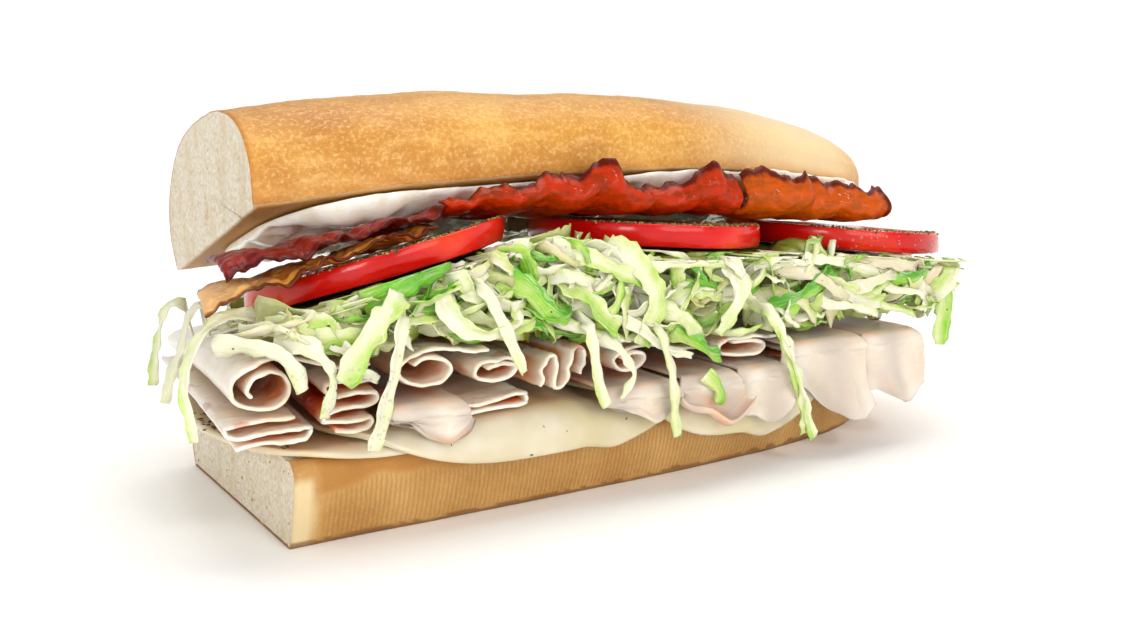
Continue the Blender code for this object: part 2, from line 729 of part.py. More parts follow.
def lettuce(collection, loose):
    """One heap: the core with the shreds that show fused on, clear of every other piece."""
    core = lettuce_core(collection)
    bpy.context.view_layer.update()
    trees = [world_tree(piece) for piece in collection.objects if piece != core]
    material = core.data.materials[0]
    draw = random.Random(41)
    for sizes in HANGING:
        fits(sizes, material, loose, trees)
    for side, count in ((-1, FRONT_SHREDS), (1, BACK_SHREDS)):
        tries = 4 * count
        while count and tries:
            count -= fits(heap_shred(draw, side), material, loose, trees)
            tries -= 1
    union = core.modifiers.new("Shreds", "BOOLEAN")
    union.operation = "UNION"
    union.operand_type = "COLLECTION"
    union.collection = loose
    union.solver = "MANIFOLD"
    bpy.context.view_layer.update()
    applied(core)
    for piece in list(loose.objects):
        bpy.data.objects.remove(piece)
    bpy.data.collections.remove(loose)
    keep_largest(core.data)


def main():
    for piece in list(bpy.data.objects):
        bpy.data.objects.remove(piece)
    collection = bpy.data.collections.new("submarine_sandwich")
    bpy.context.scene.collection.children.link(collection)
    bread_bottom(collection)
    bread_top(collection)
    mayonnaise(collection)
    cheeses(collection)
    tomatoes(collection)
    turkeys(collection)
    bacons(collection)
    loose = bpy.data.collections.new("loose_shreds")
    bpy.context.scene.collection.children.link(loose)
    lettuce(collection, loose)


main()
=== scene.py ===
"""Looks of the submarine sandwich: baked roll, provolone, moist turkey, crunchy leaf, wet tomato, fried
bacon.

Sizes and places are in millimetres and become metres as each mesh is made. X runs along the loaf, the open
front faces -Y and Z is up. The main values are those of the solids, so each piece keeps its solid's form.
"""

import math
import random

import bpy
import numpy as np
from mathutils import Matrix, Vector, noise
from mathutils.bvhtree import BVHTree


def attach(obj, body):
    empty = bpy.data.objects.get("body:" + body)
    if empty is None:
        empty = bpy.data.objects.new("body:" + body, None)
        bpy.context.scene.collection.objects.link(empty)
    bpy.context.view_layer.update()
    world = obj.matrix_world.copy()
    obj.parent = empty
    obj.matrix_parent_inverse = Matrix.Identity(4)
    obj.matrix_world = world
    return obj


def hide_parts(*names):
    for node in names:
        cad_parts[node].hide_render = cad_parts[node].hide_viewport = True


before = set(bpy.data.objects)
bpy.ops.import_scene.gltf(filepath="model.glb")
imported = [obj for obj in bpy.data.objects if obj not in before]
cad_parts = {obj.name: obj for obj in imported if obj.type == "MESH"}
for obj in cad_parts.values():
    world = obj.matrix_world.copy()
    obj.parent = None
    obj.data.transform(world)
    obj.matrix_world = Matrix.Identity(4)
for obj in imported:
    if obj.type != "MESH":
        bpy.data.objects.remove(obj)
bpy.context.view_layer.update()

MM = 0.001

# The roll, the fan of layers and the slices, as in the solids
CUT_X = -100.0
CUT_SLANT = 0.076
BASE_HALF_WIDTH = 39.0
SIDE_BULGE = 5.0
CROWN_RADIUS = 4.0
BASE_TIP_X = 99.0
BOTTOM_HEIGHT = 22.0
SIDE_Y = BASE_HALF_WIDTH + SIDE_BULGE
CHEESE_HANG_Y = SIDE_Y + 1.6
HINGE_Y = 48.4
HINGE_Z = 52.9
TILT = math.radians(19.9)
TOP_CHORD = 74.3
TOP_HALF_WIDTH = 39.0
DOME_START = 8.0
DOME_RISE = 24.3
DOME_ROUNDNESS = 2.15
TOP_TIP_X = 111.5
FRONT_SWELL = 5.5
ARCH = ((-104, 0.0), (-63, 1.4), (-20, 1.9), (20, 1.5), (50, 0.0), (80, -2.8), (112, -5.2))
FRONT_Y = -44.0
BACK_Y = 46.0
FAN_CURVE = 1.4
TURKEY_BOTTOM = 26.6
TURKEY_TOP_BACK = 38.5
LETTUCE_TOP_BACK = 47.0
TURKEY_TOP = ((-126, 47), (-103, 49), (-78, 46.5), (-51, 44.5), (-21, 41), (11, 38.5), (68, 37), (105, 35))
LETTUCE_TOP = ((-120, 54), (-98, 57), (-66, 65), (-44, 70), (-30, 68), (18, 65), (60, 62), (110, 56))
CHEESE_THICK = 1.6
TURKEY_THICK = 1.0
TOMATO_THICK = 6.0
TOMATO_RADIUS = 32.5
BACON_THICK = 1.9


def mix(a, b, t):
    return a + (b - a) * t


def smooth(t):
    t = min(max(t, 0.0), 1.0)
    return t * t * (3.0 - 2.0 * t)


def along(stops, x):
    """The value at x of a smooth line through (x, value) stops."""
    if x <= stops[0][0]:
        return stops[0][1]
    for (x0, value0), (x1, value1) in zip(stops, stops[1:]):
        if x <= x1:
            t = (x - x0) / (x1 - x0)
            return mix(value0, value1, 0.5 * t + 0.5 * smooth(t))
    return stops[-1][1]


def fan(x, y, front, back):
    """Height of a layer that is front(x) high at the open side and sinks towards the back."""
    t = min(max((y - FRONT_Y) / (BACK_Y - FRONT_Y), 0.0), 1.0)
    return mix(along(front, x), back, t**FAN_CURVE)


def turkey_top(x, y):
    return fan(x, y, TURKEY_TOP, TURKEY_TOP_BACK)


def lettuce_top(x, y):
    return fan(x, y, LETTUCE_TOP, LETTUCE_TOP_BACK)


def under_bun(x, y):
    """Height of the top half's flat cut face."""
    return HINGE_Z + (HINGE_Y - y) * math.tan(TILT) + along(ARCH, x)


def wobble(x, y, z, scale, depth):
    """Gentle unevenness with swells about scale millimetres apart."""
    return depth * noise.noise(Vector((x, y, z)) / scale)


def round_end(t, power, root):
    """Width left at t of the way to a rounded tip."""
    return (1.0 - t**power) ** (1.0 / root)


def drawn_in(x, y):
    """The fillings are shorter at the back, so both ends draw in with depth."""
    depth = y - FRONT_Y
    return x + 0.19 * depth * smooth((-20.0 - x) / 90.0) - 0.16 * depth * smooth((x - 20.0) / 80.0)


def smooth_path(points, t):
    """The point at t, 0 to 1, of a Catmull-Rom line through points."""
    spans = len(points) - 1
    k = min(int(t * spans), spans - 1)
    f = t * spans - k
    a, b, c, d = (points[min(max(k + offset, 0), spans)] for offset in (-1, 0, 1, 2))
    return tuple(
        0.5 * (2 * q + (r - p) * f + (2 * p - 5 * q + 4 * r - s) * f**2 + (3 * q - p - 3 * r + s) * f**3)
        for p, q, r, s in zip(a, b, c, d)
    )


# Materials


# The ribs that the tray pressed into the roll; the wave texture repeats this many times in one unit
RIB_PITCH = 1.3
WAVES_PER_UNIT = 20.0 / (2.0 * math.pi)

NOISE = "ShaderNodeTexNoise"
CELLS = "ShaderNodeTexVoronoi"
WAVES = "ShaderNodeTexWave"
RAMP = "ShaderNodeValToRGB"
MATH = "ShaderNodeMath"
MIX = "ShaderNodeMix"
STORED = "ShaderNodeAttribute"
BUMP = "ShaderNodeBump"
STRETCH = "ShaderNodeMapping"
VECTOR = "ShaderNodeCombineXYZ"
SHADER = "ShaderNodeBsdfPrincipled"
SURFACE = "ShaderNodeOutputMaterial"


def paint(hex_colour):
    """An sRGB hex colour as the linear colour that the shader reads."""
    parts = (int(hex_colour[k:k + 2], 16) / 255.0 for k in (1, 3, 5))
    return tuple(c / 12.92 if c <= 0.04045 else ((c + 0.055) / 1.055) ** 2.4 for c in parts) + (1.0,)


def add(tree, kind, links=None, out=0, stops=None, **settings):
    """One node with its settings, and with values, hex colours or other nodes' outputs at its inputs."""
    made = tree.nodes.new(kind)
    for key, value in settings.items():
        setattr(made, key, value)
    for key, value in (links or {}).items():
        if isinstance(value, bpy.types.NodeSocket):
            tree.links.new(value, made.inputs[key])
        else:
            is_colour = isinstance(value, str) and value[0] == "#"
            made.inputs[key].default_value = paint(value) if is_colour else value
    if stops:
        elements = made.color_ramp.elements
        while len(elements) < len(stops):
            elements.new(0.5)
        for element, (place, colour) in zip(elements, stops):
            element.position = place
            element.color = paint(colour) if isinstance(colour, str) else (colour, colour, colour, 1.0)
    return made.outputs[out] if len(made.outputs) else made


def per(size):
    """The texture scale whose features are about size millimetres wide."""
    return 1.0 / (size * MM)


def new_finish(name):
    material = bpy.data.materials.new(name)
    material.use_nodes = True
    tree = material.node_tree
    tree.nodes.clear()
    return material, tree, add(tree, "ShaderNodeTexCoord", out="Object")


def crumb(tree, place, tint):
    """Colour and height of open crumb: off-white walls round pores painted a darker tan as shade, with a
    darker upright grain.
    """
    pores = add(tree, CELLS, {"Vector": place, "Scale": per(2.2)})
    fine = add(tree, NOISE, {"Vector": place, "Scale": per(1.0), "Detail": 4.0, "Roughness": 0.6})
    upright = add(tree, STRETCH, {"Vector": place, "Scale": (1.0, 1.0, 0.45)})
    streak = add(tree, NOISE, {"Vector": upright, "Scale": per(7.0), "Detail": 3.0})
    # opened marks the pores; their darker tan is painted shade
    opened = add(tree, RAMP, {"Fac": pores}, stops=((0.08, 0.55), (0.38, 0.0)))
    streaked = add(tree, RAMP, {"Fac": streak}, stops=((0.50, 0.0), (0.68, 0.55)))
    colour = add(tree, RAMP, {"Fac": fine}, stops=((0.30, "#C4B59A"), (0.50, "#D9CDB7"), (0.70, "#E9E1D1")))
    # tint paints shade: a golden tone over crumb that faces down, as on the top half's cut face
    for share, tone in ((streaked, "#C9B48A"), (opened, "#C6B28C"), (tint, "#B88436")):
        colour = add(tree, MIX, {0: share, 6: colour, 7: tone}, 2, data_type="RGBA")
    return colour, add(tree, MATH, {0: fine, 1: opened}, operation="SUBTRACT")


def cut_or_skin(tree, fine, skin, skin_height, crumb_colour, crumb_height):
    """Skin outside and crumb where the roll is cut, with a ragged border between them."""
    ragged = add(tree, MATH, {0: fine, 1: 0.5, 2: -0.25}, operation="MULTIPLY_ADD")
    bare = add(tree, STORED, out="Fac", attribute_name="crumb")
    edge = add(tree, MATH, {0: bare, 1: ragged})
    inside = add(tree, RAMP, {"Fac": edge}, stops=((0.44, 0.0), (0.58, 1.0)))
    colour = add(tree, MIX, {0: inside, 6: skin, 7: crumb_colour}, 2, data_type="RGBA")
    height = add(tree, MIX, {0: inside, 2: skin_height, 3: crumb_height})
    return colour, height


def golden_crust():
    """The top half's finish."""
    # Soft white roll, baked: thin, satin and golden, with paler flecks and wisps where the dough stretched
    material, tree, place = new_finish("soft roll, baked golden crust")
    broad = add(tree, NOISE, {"Vector": place, "Scale": per(26.0), "Detail": 5.0, "Roughness": 0.6})
    slanted = add(tree, STRETCH, {"Vector": place, "Rotation": (0.0, 0.75, 0.3), "Scale": (0.35, 1.0, 1.6)})
    wisps = add(tree, NOISE, {"Vector": slanted, "Scale": per(5.5), "Detail": 4.0, "Roughness": 0.65})
    flecks = add(tree, NOISE, {"Vector": place, "Scale": per(1.1), "Detail": 3.0, "Roughness": 0.75})
    fine = add(tree, NOISE, {"Vector": place, "Scale": per(0.8), "Detail": 3.0})
    colour = add(tree, RAMP, {"Fac": broad}, stops=(
        (0.34, "#AE6E1A"), (0.46, "#BB7E24"), (0.56, "#C78D30"), (0.68, "#D29F46"),
    ))
    wisp = add(tree, RAMP, {"Fac": wisps}, stops=((0.50, 0.0), (0.64, 0.35), (0.78, 0.55)))
    bright = add(tree, RAMP, {"Fac": flecks}, stops=((0.50, 0.0), (0.68, 0.6)))
    dark = add(tree, RAMP, {"Fac": flecks}, stops=((0.34, 0.45), (0.48, 0.0)))
    # pale lightens the crust towards the tip: partly its own colour, partly a painted sheen
    pale, brown, tan = (add(tree, STORED, out="Fac", attribute_name=key) for key in ("pale", "brown", "tan"))
    # The darker golden tone is painted shade at the crust's lower edge, on its back half and at its top, and
    # the real crust line at the cut end
    for share, tone in (
        (wisp, "#E2B268"), (bright, "#E8BE7A"), (dark, "#B0722A"), (pale, "#E2CA9C"), (brown, "#BE7624"),
    ):
        colour = add(tree, MIX, {0: share, 6: colour, 7: tone}, 2, data_type="RGBA")
    skin = add(tree, MATH, {0: fine, 1: 0.5, 2: flecks}, operation="MULTIPLY_ADD")
    # The top half's crumb face looks down under the fillings and gets painted shade through tan
    crumb_colour, crumb_height = crumb(tree, place, tan)
    colour, height = cut_or_skin(tree, fine, colour, skin, crumb_colour, crumb_height)
    shader = add(tree, SHADER, {
        "Base Color": colour, "Roughness": 0.48, "IOR": 1.45, "Subsurface Weight": 0.1,
        "Subsurface Scale": 0.002, "Coat Weight": 0.05, "Coat Roughness": 0.35,
        "Normal": add(tree, BUMP, {"Height": height, "Distance": 0.4 * MM, "Strength": 0.5}),
    })
    add(tree, SURFACE, {"Surface": shader})
    return material


def tray_crust():
    """The bottom half's finish."""
    # The same roll where it baked against a ribbed tray: matte tan with fine upright ribs and no shine
    material, tree, place = new_finish("soft roll, ribbed tray side")
    ribs = add(tree, WAVES, {
        "Vector": place, "Scale": per(RIB_PITCH * WAVES_PER_UNIT), "Distortion": 1.2, "Detail": 2.0,
        "Detail Scale": 2.0,
    }, "Fac", bands_direction="X")
    broad = add(tree, NOISE, {"Vector": place, "Scale": per(18.0), "Detail": 3.0})
    fine = add(tree, NOISE, {"Vector": place, "Scale": per(0.9), "Detail": 4.0, "Roughness": 0.65})
    colour = add(tree, RAMP, {"Fac": broad}, stops=((0.34, "#B07F40"), (0.52, "#BC8E4E"), (0.68, "#C79B5C")))
    beads = add(tree, RAMP, {"Fac": fine}, stops=((0.50, 0.0), (0.72, 0.35)))
    ribbed, brown, pale, burnt = (
        add(tree, STORED, out="Fac", attribute_name=key) for key in ("ribbed", "brown", "pale", "burnt")
    )
    groove = add(tree, RAMP, {"Fac": ribs}, stops=((0.10, 0.34), (0.65, 0.0)))
    groove = add(tree, MATH, {0: groove, 1: ribbed}, operation="MULTIPLY")
    # The darker tone along the top of the side is painted shadow of the overhanging cheese
    for share, tone in (
        (beads, "#D6B276"), (groove, "#8E652A"), (brown, "#A76E26"), (pale, "#D8C294"), (burnt, "#6E421A"),
    ):
        colour = add(tree, MIX, {0: share, 6: colour, 7: tone}, 2, data_type="RGBA")
    ridge = add(tree, MATH, {0: ribs, 1: ribbed}, operation="MULTIPLY")
    skin = add(tree, MATH, {0: ridge, 1: fine})
    crumb_colour, crumb_height = crumb(tree, place, 0.0)
    colour, height = cut_or_skin(tree, fine, colour, skin, crumb_colour, crumb_height)
    shader = add(tree, SHADER, {
        "Base Color": colour, "Roughness": 0.62, "IOR": 1.45, "Subsurface Weight": 0.08,
        "Subsurface Scale": 0.002,
        "Normal": add(tree, BUMP, {"Height": height, "Distance": 0.4 * MM, "Strength": 0.55}),
    })
    add(tree, SURFACE, {"Surface": shader})
    return material


def whipped_sauce():
    """The spread's finish."""
    # Mayonnaise, spread with a knife: an opaque emulsion, bright white, with a wet and soft-edged shine
    material, tree, place = new_finish("mayonnaise, spread")
    lumps = add(tree, NOISE, {"Vector": place, "Scale": per(5.0), "Detail": 3.0})
    shader = add(tree, SHADER, {
        "Base Color": add(tree, RAMP, {"Fac": lumps}, stops=((0.36, "#F6ECD6"), (0.60, "#FFF9EA"))),
        "Roughness": 0.18, "IOR": 1.46, "Subsurface Weight": 0.6, "Subsurface Scale": 0.005,
        "Subsurface Radius": (1.0, 0.85, 0.65), "Coat Weight": 0.5, "Coat Roughness": 0.08,
        "Normal": add(tree, BUMP, {"Height": lumps, "Distance": 0.9 * MM, "Strength": 0.5}),
    })
    add(tree, SURFACE, {"Surface": shader})
    return material


def sliced_provolone():
    """The cheese's finish."""
    # Provolone, machine sliced: smooth and a little waxy, cream, with a warm glow where light soaks in
    material, tree, place = new_finish("provolone, machine sliced")
    broad = add(tree, NOISE, {"Vector": place, "Scale": per(16.0), "Detail": 2.0})
    curd = add(tree, NOISE, {"Vector": place, "Scale": per(2.0), "Detail": 3.0})
    colour = add(tree, RAMP, {"Fac": broad}, stops=((0.35, "#C6BA94"), (0.55, "#CEC3A6"), (0.72, "#D7CFBB")))
    # inside paints a warm shade and glow where the cheese lies under the fillings
    inside = add(tree, STORED, out="Fac", attribute_name="inside")
    colour = add(tree, MIX, {0: inside, 6: colour, 7: "#DDB478"}, 2, data_type="RGBA")
    shader = add(tree, SHADER, {
        "Base Color": colour, "Roughness": 0.34, "IOR": 1.45, "Subsurface Weight": 0.5,
        "Subsurface Scale": 0.004,
        "Subsurface Radius": (1.0, 0.75, 0.4), "Coat Weight": 0.12, "Coat Roughness": 0.25,
        "Normal": add(tree, BUMP, {"Height": curd, "Distance": 0.12 * MM, "Strength": 0.5}),
    })
    add(tree, SURFACE, {"Surface": shader})
    return material


def cut_tomato():
    """The tomato slices' finish."""
    # Ripe tomato, sliced: taut shiny red skin on the rim, wet paler cut faces, gel round the seeds
    material, tree, place = new_finish("ripe tomato, sliced")
    broad = add(tree, NOISE, {"Vector": place, "Scale": per(22.0), "Detail": 2.0})
    fine = add(tree, NOISE, {"Vector": place, "Scale": per(1.6), "Detail": 3.0})
    seeds = add(tree, CELLS, {"Vector": place, "Scale": per(4.2)})
    seed = add(tree, RAMP, {"Fac": seeds}, stops=((0.22, 1.0), (0.30, 0.0)))
    skin = add(tree, RAMP, {"Fac": broad}, stops=(
        (0.36, "#C00A08"), (0.50, "#CE1410"), (0.62, "#D63314"), (0.74, "#DE5226"),
    ))
    flesh = add(tree, RAMP, {"Fac": fine}, stops=((0.35, "#BE3320"), (0.65, "#D9654A")))
    gel = add(tree, STORED, out="Fac", attribute_name="gel")
    seed_here = add(tree, MATH, {0: seed, 1: gel}, operation="MULTIPLY")
    rim = add(tree, STORED, out="Fac", attribute_name="rim")
    for share, tone in ((gel, "#A62F10"), (seed_here, "#D9AE62"), (rim, skin)):
        flesh = add(tree, MIX, {0: share, 6: flesh, 7: tone}, 2, data_type="RGBA")
    shader = add(tree, SHADER, {
        "Base Color": flesh, "Roughness": 0.17, "IOR": 1.38, "Subsurface Weight": 0.2,
        "Subsurface Scale": 0.002,
        "Subsurface Radius": (1.0, 0.15, 0.05), "Specular IOR Level": 0.35, "Coat Weight": 0.2,
        "Coat Roughness": 0.05,
        "Normal": add(tree, BUMP, {"Height": fine, "Distance": 0.15 * MM, "Strength": 0.35}),
    })
    add(tree, SURFACE, {"Surface": shader})
    return material


def sliced_turkey():
    """The turkey's finish."""
    # Roast turkey breast, thin sliced: moist, pinkish white, orange to red where light soaks into folds
    material, tree, place = new_finish("roast turkey breast, thin sliced")
    broad = add(tree, NOISE, {"Vector": place, "Scale": per(10.0), "Detail": 3.0})
    lengthwise = add(tree, STRETCH, {"Vector": place, "Scale": (1.0, 1.0, 2.4)})
    fibre = add(tree, NOISE, {"Vector": lengthwise, "Scale": per(2.2), "Detail": 4.0, "Roughness": 0.6})
    colour = add(tree, RAMP, {"Fac": broad}, stops=((0.34, "#E5D1B9"), (0.50, "#ECDDCB"), (0.66, "#F1E7DC")))
    pale = add(tree, RAMP, {"Fac": fibre}, stops=((0.46, 0.0), (0.66, 0.4)))
    inside, roast, cool = (
        add(tree, STORED, out="Fac", attribute_name=key) for key in ("inside", "roast", "cool")
    )
    # inside paints the orange to red glow of light soaking into the folds, and their shade, into the colour
    deep = add(tree, MATH, {0: broad, 1: 0.8, 2: 0.1}, operation="MULTIPLY_ADD")
    deep = add(tree, MATH, {0: inside, 1: deep}, operation="MULTIPLY")
    warm = add(tree, RAMP, {"Fac": deep}, stops=((0.04, 0.0), (0.24, 1.0)))
    red = add(tree, RAMP, {"Fac": deep}, stops=((0.24, 0.0), (0.52, 1.0)))
    patchy = add(tree, MATH, {0: roast, 1: broad}, operation="MULTIPLY")
    seared = add(tree, RAMP, {"Fac": patchy}, stops=((0.58, 0.0), (0.64, 0.6)))
    # The last tone darkens the flaps to a mauve grey: painted shade, since they stand out into more light
    for share, tone in (
        (pale, "#F2E9E0"), (warm, "#E2A26E"), (red, "#CC4A16"), (seared, "#C9652C"), (cool, "#BCAFA2"),
    ):
        colour = add(tree, MIX, {0: share, 6: colour, 7: tone}, 2, data_type="RGBA")
    height = add(tree, MATH, {0: fibre, 1: broad})
    shader = add(tree, SHADER, {
        "Base Color": colour, "Roughness": 0.32, "IOR": 1.42, "Subsurface Weight": 0.5,
        "Subsurface Scale": 0.003,
        "Subsurface Radius": (1.0, 0.5, 0.32), "Coat Weight": 0.35, "Coat Roughness": 0.12,
        "Normal": add(tree, BUMP, {"Height": height, "Distance": 0.25 * MM, "Strength": 0.5}),
    })
    add(tree, SURFACE, {"Surface": shader})
    return material


def fried_bacon(name, lean, deep, fat, share):
    """A bacon strip's finish, from its lean, its darkest lean, its fat and how much fat shows."""
    # Streaky bacon, fried: greasy lean and amber fat in bands, blistered and almost black on the charred edge
    material, tree, place = new_finish(name)
    warp = add(tree, NOISE, {"Vector": place, "Scale": per(13.0), "Detail": 3.0, "Roughness": 0.6})
    blister = add(tree, NOISE, {"Vector": place, "Scale": per(1.3), "Detail": 3.0, "Roughness": 0.65})
    lengthwise = add(tree, STRETCH, {"Vector": place, "Scale": (0.28, 1.0, 1.0)})
    grain = add(tree, NOISE, {"Vector": lengthwise, "Scale": per(2.0), "Detail": 3.0, "Roughness": 0.55})
    across, crisp, pale = (
        add(tree, STORED, out="Fac", attribute_name=key) for key in ("across", "crisp", "pale")
    )
    band = add(tree, MATH, {0: warp, 1: 0.55, 2: across}, operation="MULTIPLY_ADD")
    bands = add(tree, RAMP, {"Fac": band}, stops=(
        (0.26, 0.0), (0.36, share), (0.48, 0.05), (0.60, 0.9 * share), (0.72, 0.1), (0.86, share), (1.0, 0.3),
    ))
    colour = add(tree, RAMP, {"Fac": grain}, stops=((0.38, deep), (0.58, lean)))
    # Char covers the charred front edge and end, and also the inner edge at the back, where it is painted
    # shade
    charred = add(tree, MATH, {0: blister, 1: 0.5, 2: crisp}, operation="MULTIPLY_ADD")
    char = add(tree, RAMP, {"Fac": charred}, stops=((0.56, 0.0), (0.95, 0.9)))
    for share, tone in ((bands, fat), (char, "#480A05"), (pale, "#E2B274")):
        colour = add(tree, MIX, {0: share, 6: colour, 7: tone}, 2, data_type="RGBA")
    shader = add(tree, SHADER, {
        "Base Color": colour, "Roughness": 0.32, "IOR": 1.46, "Specular IOR Level": 0.05, "Coat Weight": 0.22,
        "Coat Roughness": 0.04,
        "Normal": add(tree, BUMP, {"Height": blister, "Distance": 0.5 * MM, "Strength": 0.8}),
    })
    add(tree, SURFACE, {"Surface": shader})
    return material


def crisp_leaf():
    """The lettuce's finish."""
    # Iceberg lettuce, shredded: thin wet leaf, white at the rib and green at its rim, with long fine veins
    material, tree, place = new_finish("iceberg lettuce, shredded")
    uneven = add(tree, NOISE, {"Vector": place, "Scale": per(5.0), "Detail": 3.0, "Roughness": 0.6})
    lengthwise, sideways, green, faded, deep = (
        add(tree, STORED, out="Fac", attribute_name=key)
        for key in ("lengthwise", "sideways", "green", "faded", "deep")
    )
    on_leaf = add(tree, VECTOR, {"X": lengthwise, "Y": sideways})
    veins = add(tree, NOISE, {"Vector": on_leaf, "Scale": 1.0, "Detail": 3.0, "Roughness": 0.55})
    vein = add(tree, RAMP, {"Fac": veins}, stops=((0.50, 0.0), (0.62, 0.4), (0.70, 0.1)))
    patch = add(tree, MATH, {0: uneven, 1: 0.6, 2: -0.3}, operation="MULTIPLY_ADD")
    green = add(tree, MATH, {0: green, 1: patch})
    colour = add(tree, RAMP, {"Fac": green}, stops=(
        (0.05, "#DEDDC4"), (0.25, "#D0D7A2"), (0.45, "#B6CA6C"), (0.65, "#8EBC32"), (0.85, "#64AE18"),
        (1.0, "#46940E"),
    ))
    # deep darkens leaves to olive: painted shade on the heap's core and on leaves behind the front
    for share, tone in ((vein, "#DADDB2"), (faded, "#C9B38E"), (deep, "#85862E")):
        colour = add(tree, MIX, {0: share, 6: colour, 7: tone}, 2, data_type="RGBA")
    height = add(tree, MATH, {0: vein, 1: uneven})
    shader = add(tree, SHADER, {
        "Base Color": colour, "Roughness": 0.26, "IOR": 1.38, "Subsurface Weight": 0.35,
        "Subsurface Scale": 0.001,
        "Subsurface Radius": (0.6, 1.0, 0.25), "Coat Weight": 0.4, "Coat Roughness": 0.08,
        "Normal": add(tree, BUMP, {"Height": height, "Distance": 0.35 * MM, "Strength": 0.6}),
    })
    add(tree, SURFACE, {"Surface": shader})
    return material


def loose_bits(name, light, dark):
    """The finish of dried herb, pepper and crumbs."""
    # Ground and dried, so dull, and each bit is a little lighter or darker
    material, tree, place = new_finish(name)
    shade = add(tree, NOISE, {"Vector": place, "Scale": per(0.8), "Detail": 2.0})
    shader = add(tree, SHADER, {
        "Base Color": add(tree, RAMP, {"Fac": shade}, stops=((0.38, dark), (0.62, light))), "Roughness": 0.75,
    })
    add(tree, SURFACE, {"Surface": shader})
    return material


def water():
    """The finish of the droplets."""
    # Water beads: clear, so each shows as a bright glint over what it lies on, a little uneven in its gloss
    material, tree, place = new_finish("water droplets")
    shade = add(tree, NOISE, {"Vector": place, "Scale": per(1.0), "Detail": 1.0})
    shader = add(tree, SHADER, {
        "Base Color": add(tree, RAMP, {"Fac": shade}, stops=((0.4, "#F4F8F2"), (0.6, "#FFFFFF"))),
        "Roughness": 0.03, "IOR": 1.33, "Transmission Weight": 0.85,
    })
    add(tree, SURFACE, {"Surface": shader})
    return material


# Mesh making


def outward(points, faces):
    """The faces, turned over if they point inwards."""
    points = np.asarray(points, float)
    volume = 0.0
    for size in (3, 4):
        some = np.array([face for face in faces if len(face) == size], int).reshape(-1, size)
        for k in range(1, size - 1):
            a, b, c = points[some[:, 0]], points[some[:, k]], points[some[:, k + 1]]
            volume += float(np.einsum("ij,ij->i", a, np.cross(b, c)).sum())
    return [face[::-1] for face in faces] if volume < 0.0 else faces


def piece_of(name, points, faces, material, values=None):
    """A mesh object from points in millimetres, with its values as attributes of the points."""
    mesh = bpy.data.meshes.new(name)
    mesh.from_pydata((np.asarray(points, float) * MM).tolist(), [], [tuple(face) for face in faces])
    mesh.update()
    mesh.materials.append(material)
    mesh.shade_smooth()
    for key, numbers in (values or {}).items():
        attribute = mesh.attributes.new(key, "FLOAT", "POINT")
        attribute.data.foreach_set("value", np.asarray(numbers, np.float32))
    piece = bpy.data.objects.new(name, mesh)
    bpy.context.scene.collection.objects.link(piece)
    return piece


def sheet_parts(grid, thick, values):
    """Points, faces and values of a slice with a rounded rim, from a grid of its middle surface."""
    rows, columns = grid.shape[:2]
    along_u = np.gradient(grid, axis=1)
    along_v = np.gradient(grid, axis=0)
    normal = np.cross(along_u, along_v)
    normal /= np.maximum(np.linalg.norm(normal, axis=2, keepdims=True), 1e-9)
    out = np.zeros_like(grid)
    out[0] += grid[0] - grid[1]
    out[-1] += grid[-1] - grid[-2]
    out[:, 0] += grid[:, 0] - grid[:, 1]
    out[:, -1] += grid[:, -1] - grid[:, -2]
    out /= np.maximum(np.linalg.norm(out, axis=2, keepdims=True), 1e-9)
    half = 0.5 * np.broadcast_to(np.asarray(thick, float), (rows, columns)).copy()
    border = np.zeros((rows, columns), bool)
    border[0] = border[-1] = border[:, 0] = border[:, -1] = True
    full = half.copy()
    half[border] *= 0.72
    index = np.arange(rows * columns).reshape(rows, columns)
    top = (grid + normal * half[..., None]).reshape(-1, 3)
    bottom = (grid - normal * half[..., None]).reshape(-1, 3)
    loop = np.concatenate([index[0, :-1], index[:-1, -1], index[-1, :0:-1], index[:0:-1, 0]])
    rim = (grid + out * 0.45 * full[..., None]).reshape(-1, 3)[loop]
    count = rows * columns
    faces = []
    a, b, c, d = index[:-1, :-1], index[:-1, 1:], index[1:, 1:], index[1:, :-1]
    upper = np.stack([a, b, c, d], axis=-1).reshape(-1, 4)
    faces += upper.tolist()
    faces += (upper[:, ::-1] + count).tolist()
    ring = np.arange(len(loop)) + 2 * count
    following = np.roll(ring, -1)
    next_loop = np.roll(loop, -1)
    faces += np.stack([next_loop, loop, ring, following], axis=-1).tolist()
    faces += np.stack([following, ring, loop + count, next_loop + count], axis=-1).tolist()
    points = np.concatenate([top, bottom, rim])
    spread = {}
    for key, numbers in values.items():
        upper_value, lower_value = numbers if isinstance(numbers, tuple) else (numbers, numbers)
        upper_value = np.asarray(upper_value, float).reshape(-1)
        lower_value = np.asarray(lower_value, float).reshape(-1)
        spread[key] = np.concatenate([upper_value, lower_value, 0.5 * (upper_value + lower_value)[loop]])
    return points, faces, spread


def grid_of(columns, rows, place, us=None, vs=None):
    us = np.linspace(0, 1, columns + 1) if us is None else us
    vs = np.linspace(0, 1, rows + 1) if vs is None else vs
    return np.array([[tuple(place(u, v)) for u in us] for v in vs], float), us, vs


def sheet(name, grid, thick, material, values):
    points, faces, spread = sheet_parts(grid, thick, values)
    return piece_of(name, points, outward(points, faces), material, spread)


def joined(name, parts, material):
    """One piece from the points, faces and values of many."""
    points, faces, values, start = [], [], {}, 0
    for some_points, some_faces, some_values in parts:
        points.append(some_points)
        faces += [[k + start for k in face] for face in outward(some_points, some_faces)]
        for key, numbers in some_values.items():
            values.setdefault(key, []).append(numbers)
        start += len(some_points)
    values = {key: np.concatenate(numbers) for key, numbers in values.items()}
    return piece_of(name, np.concatenate(points), faces, material, values)


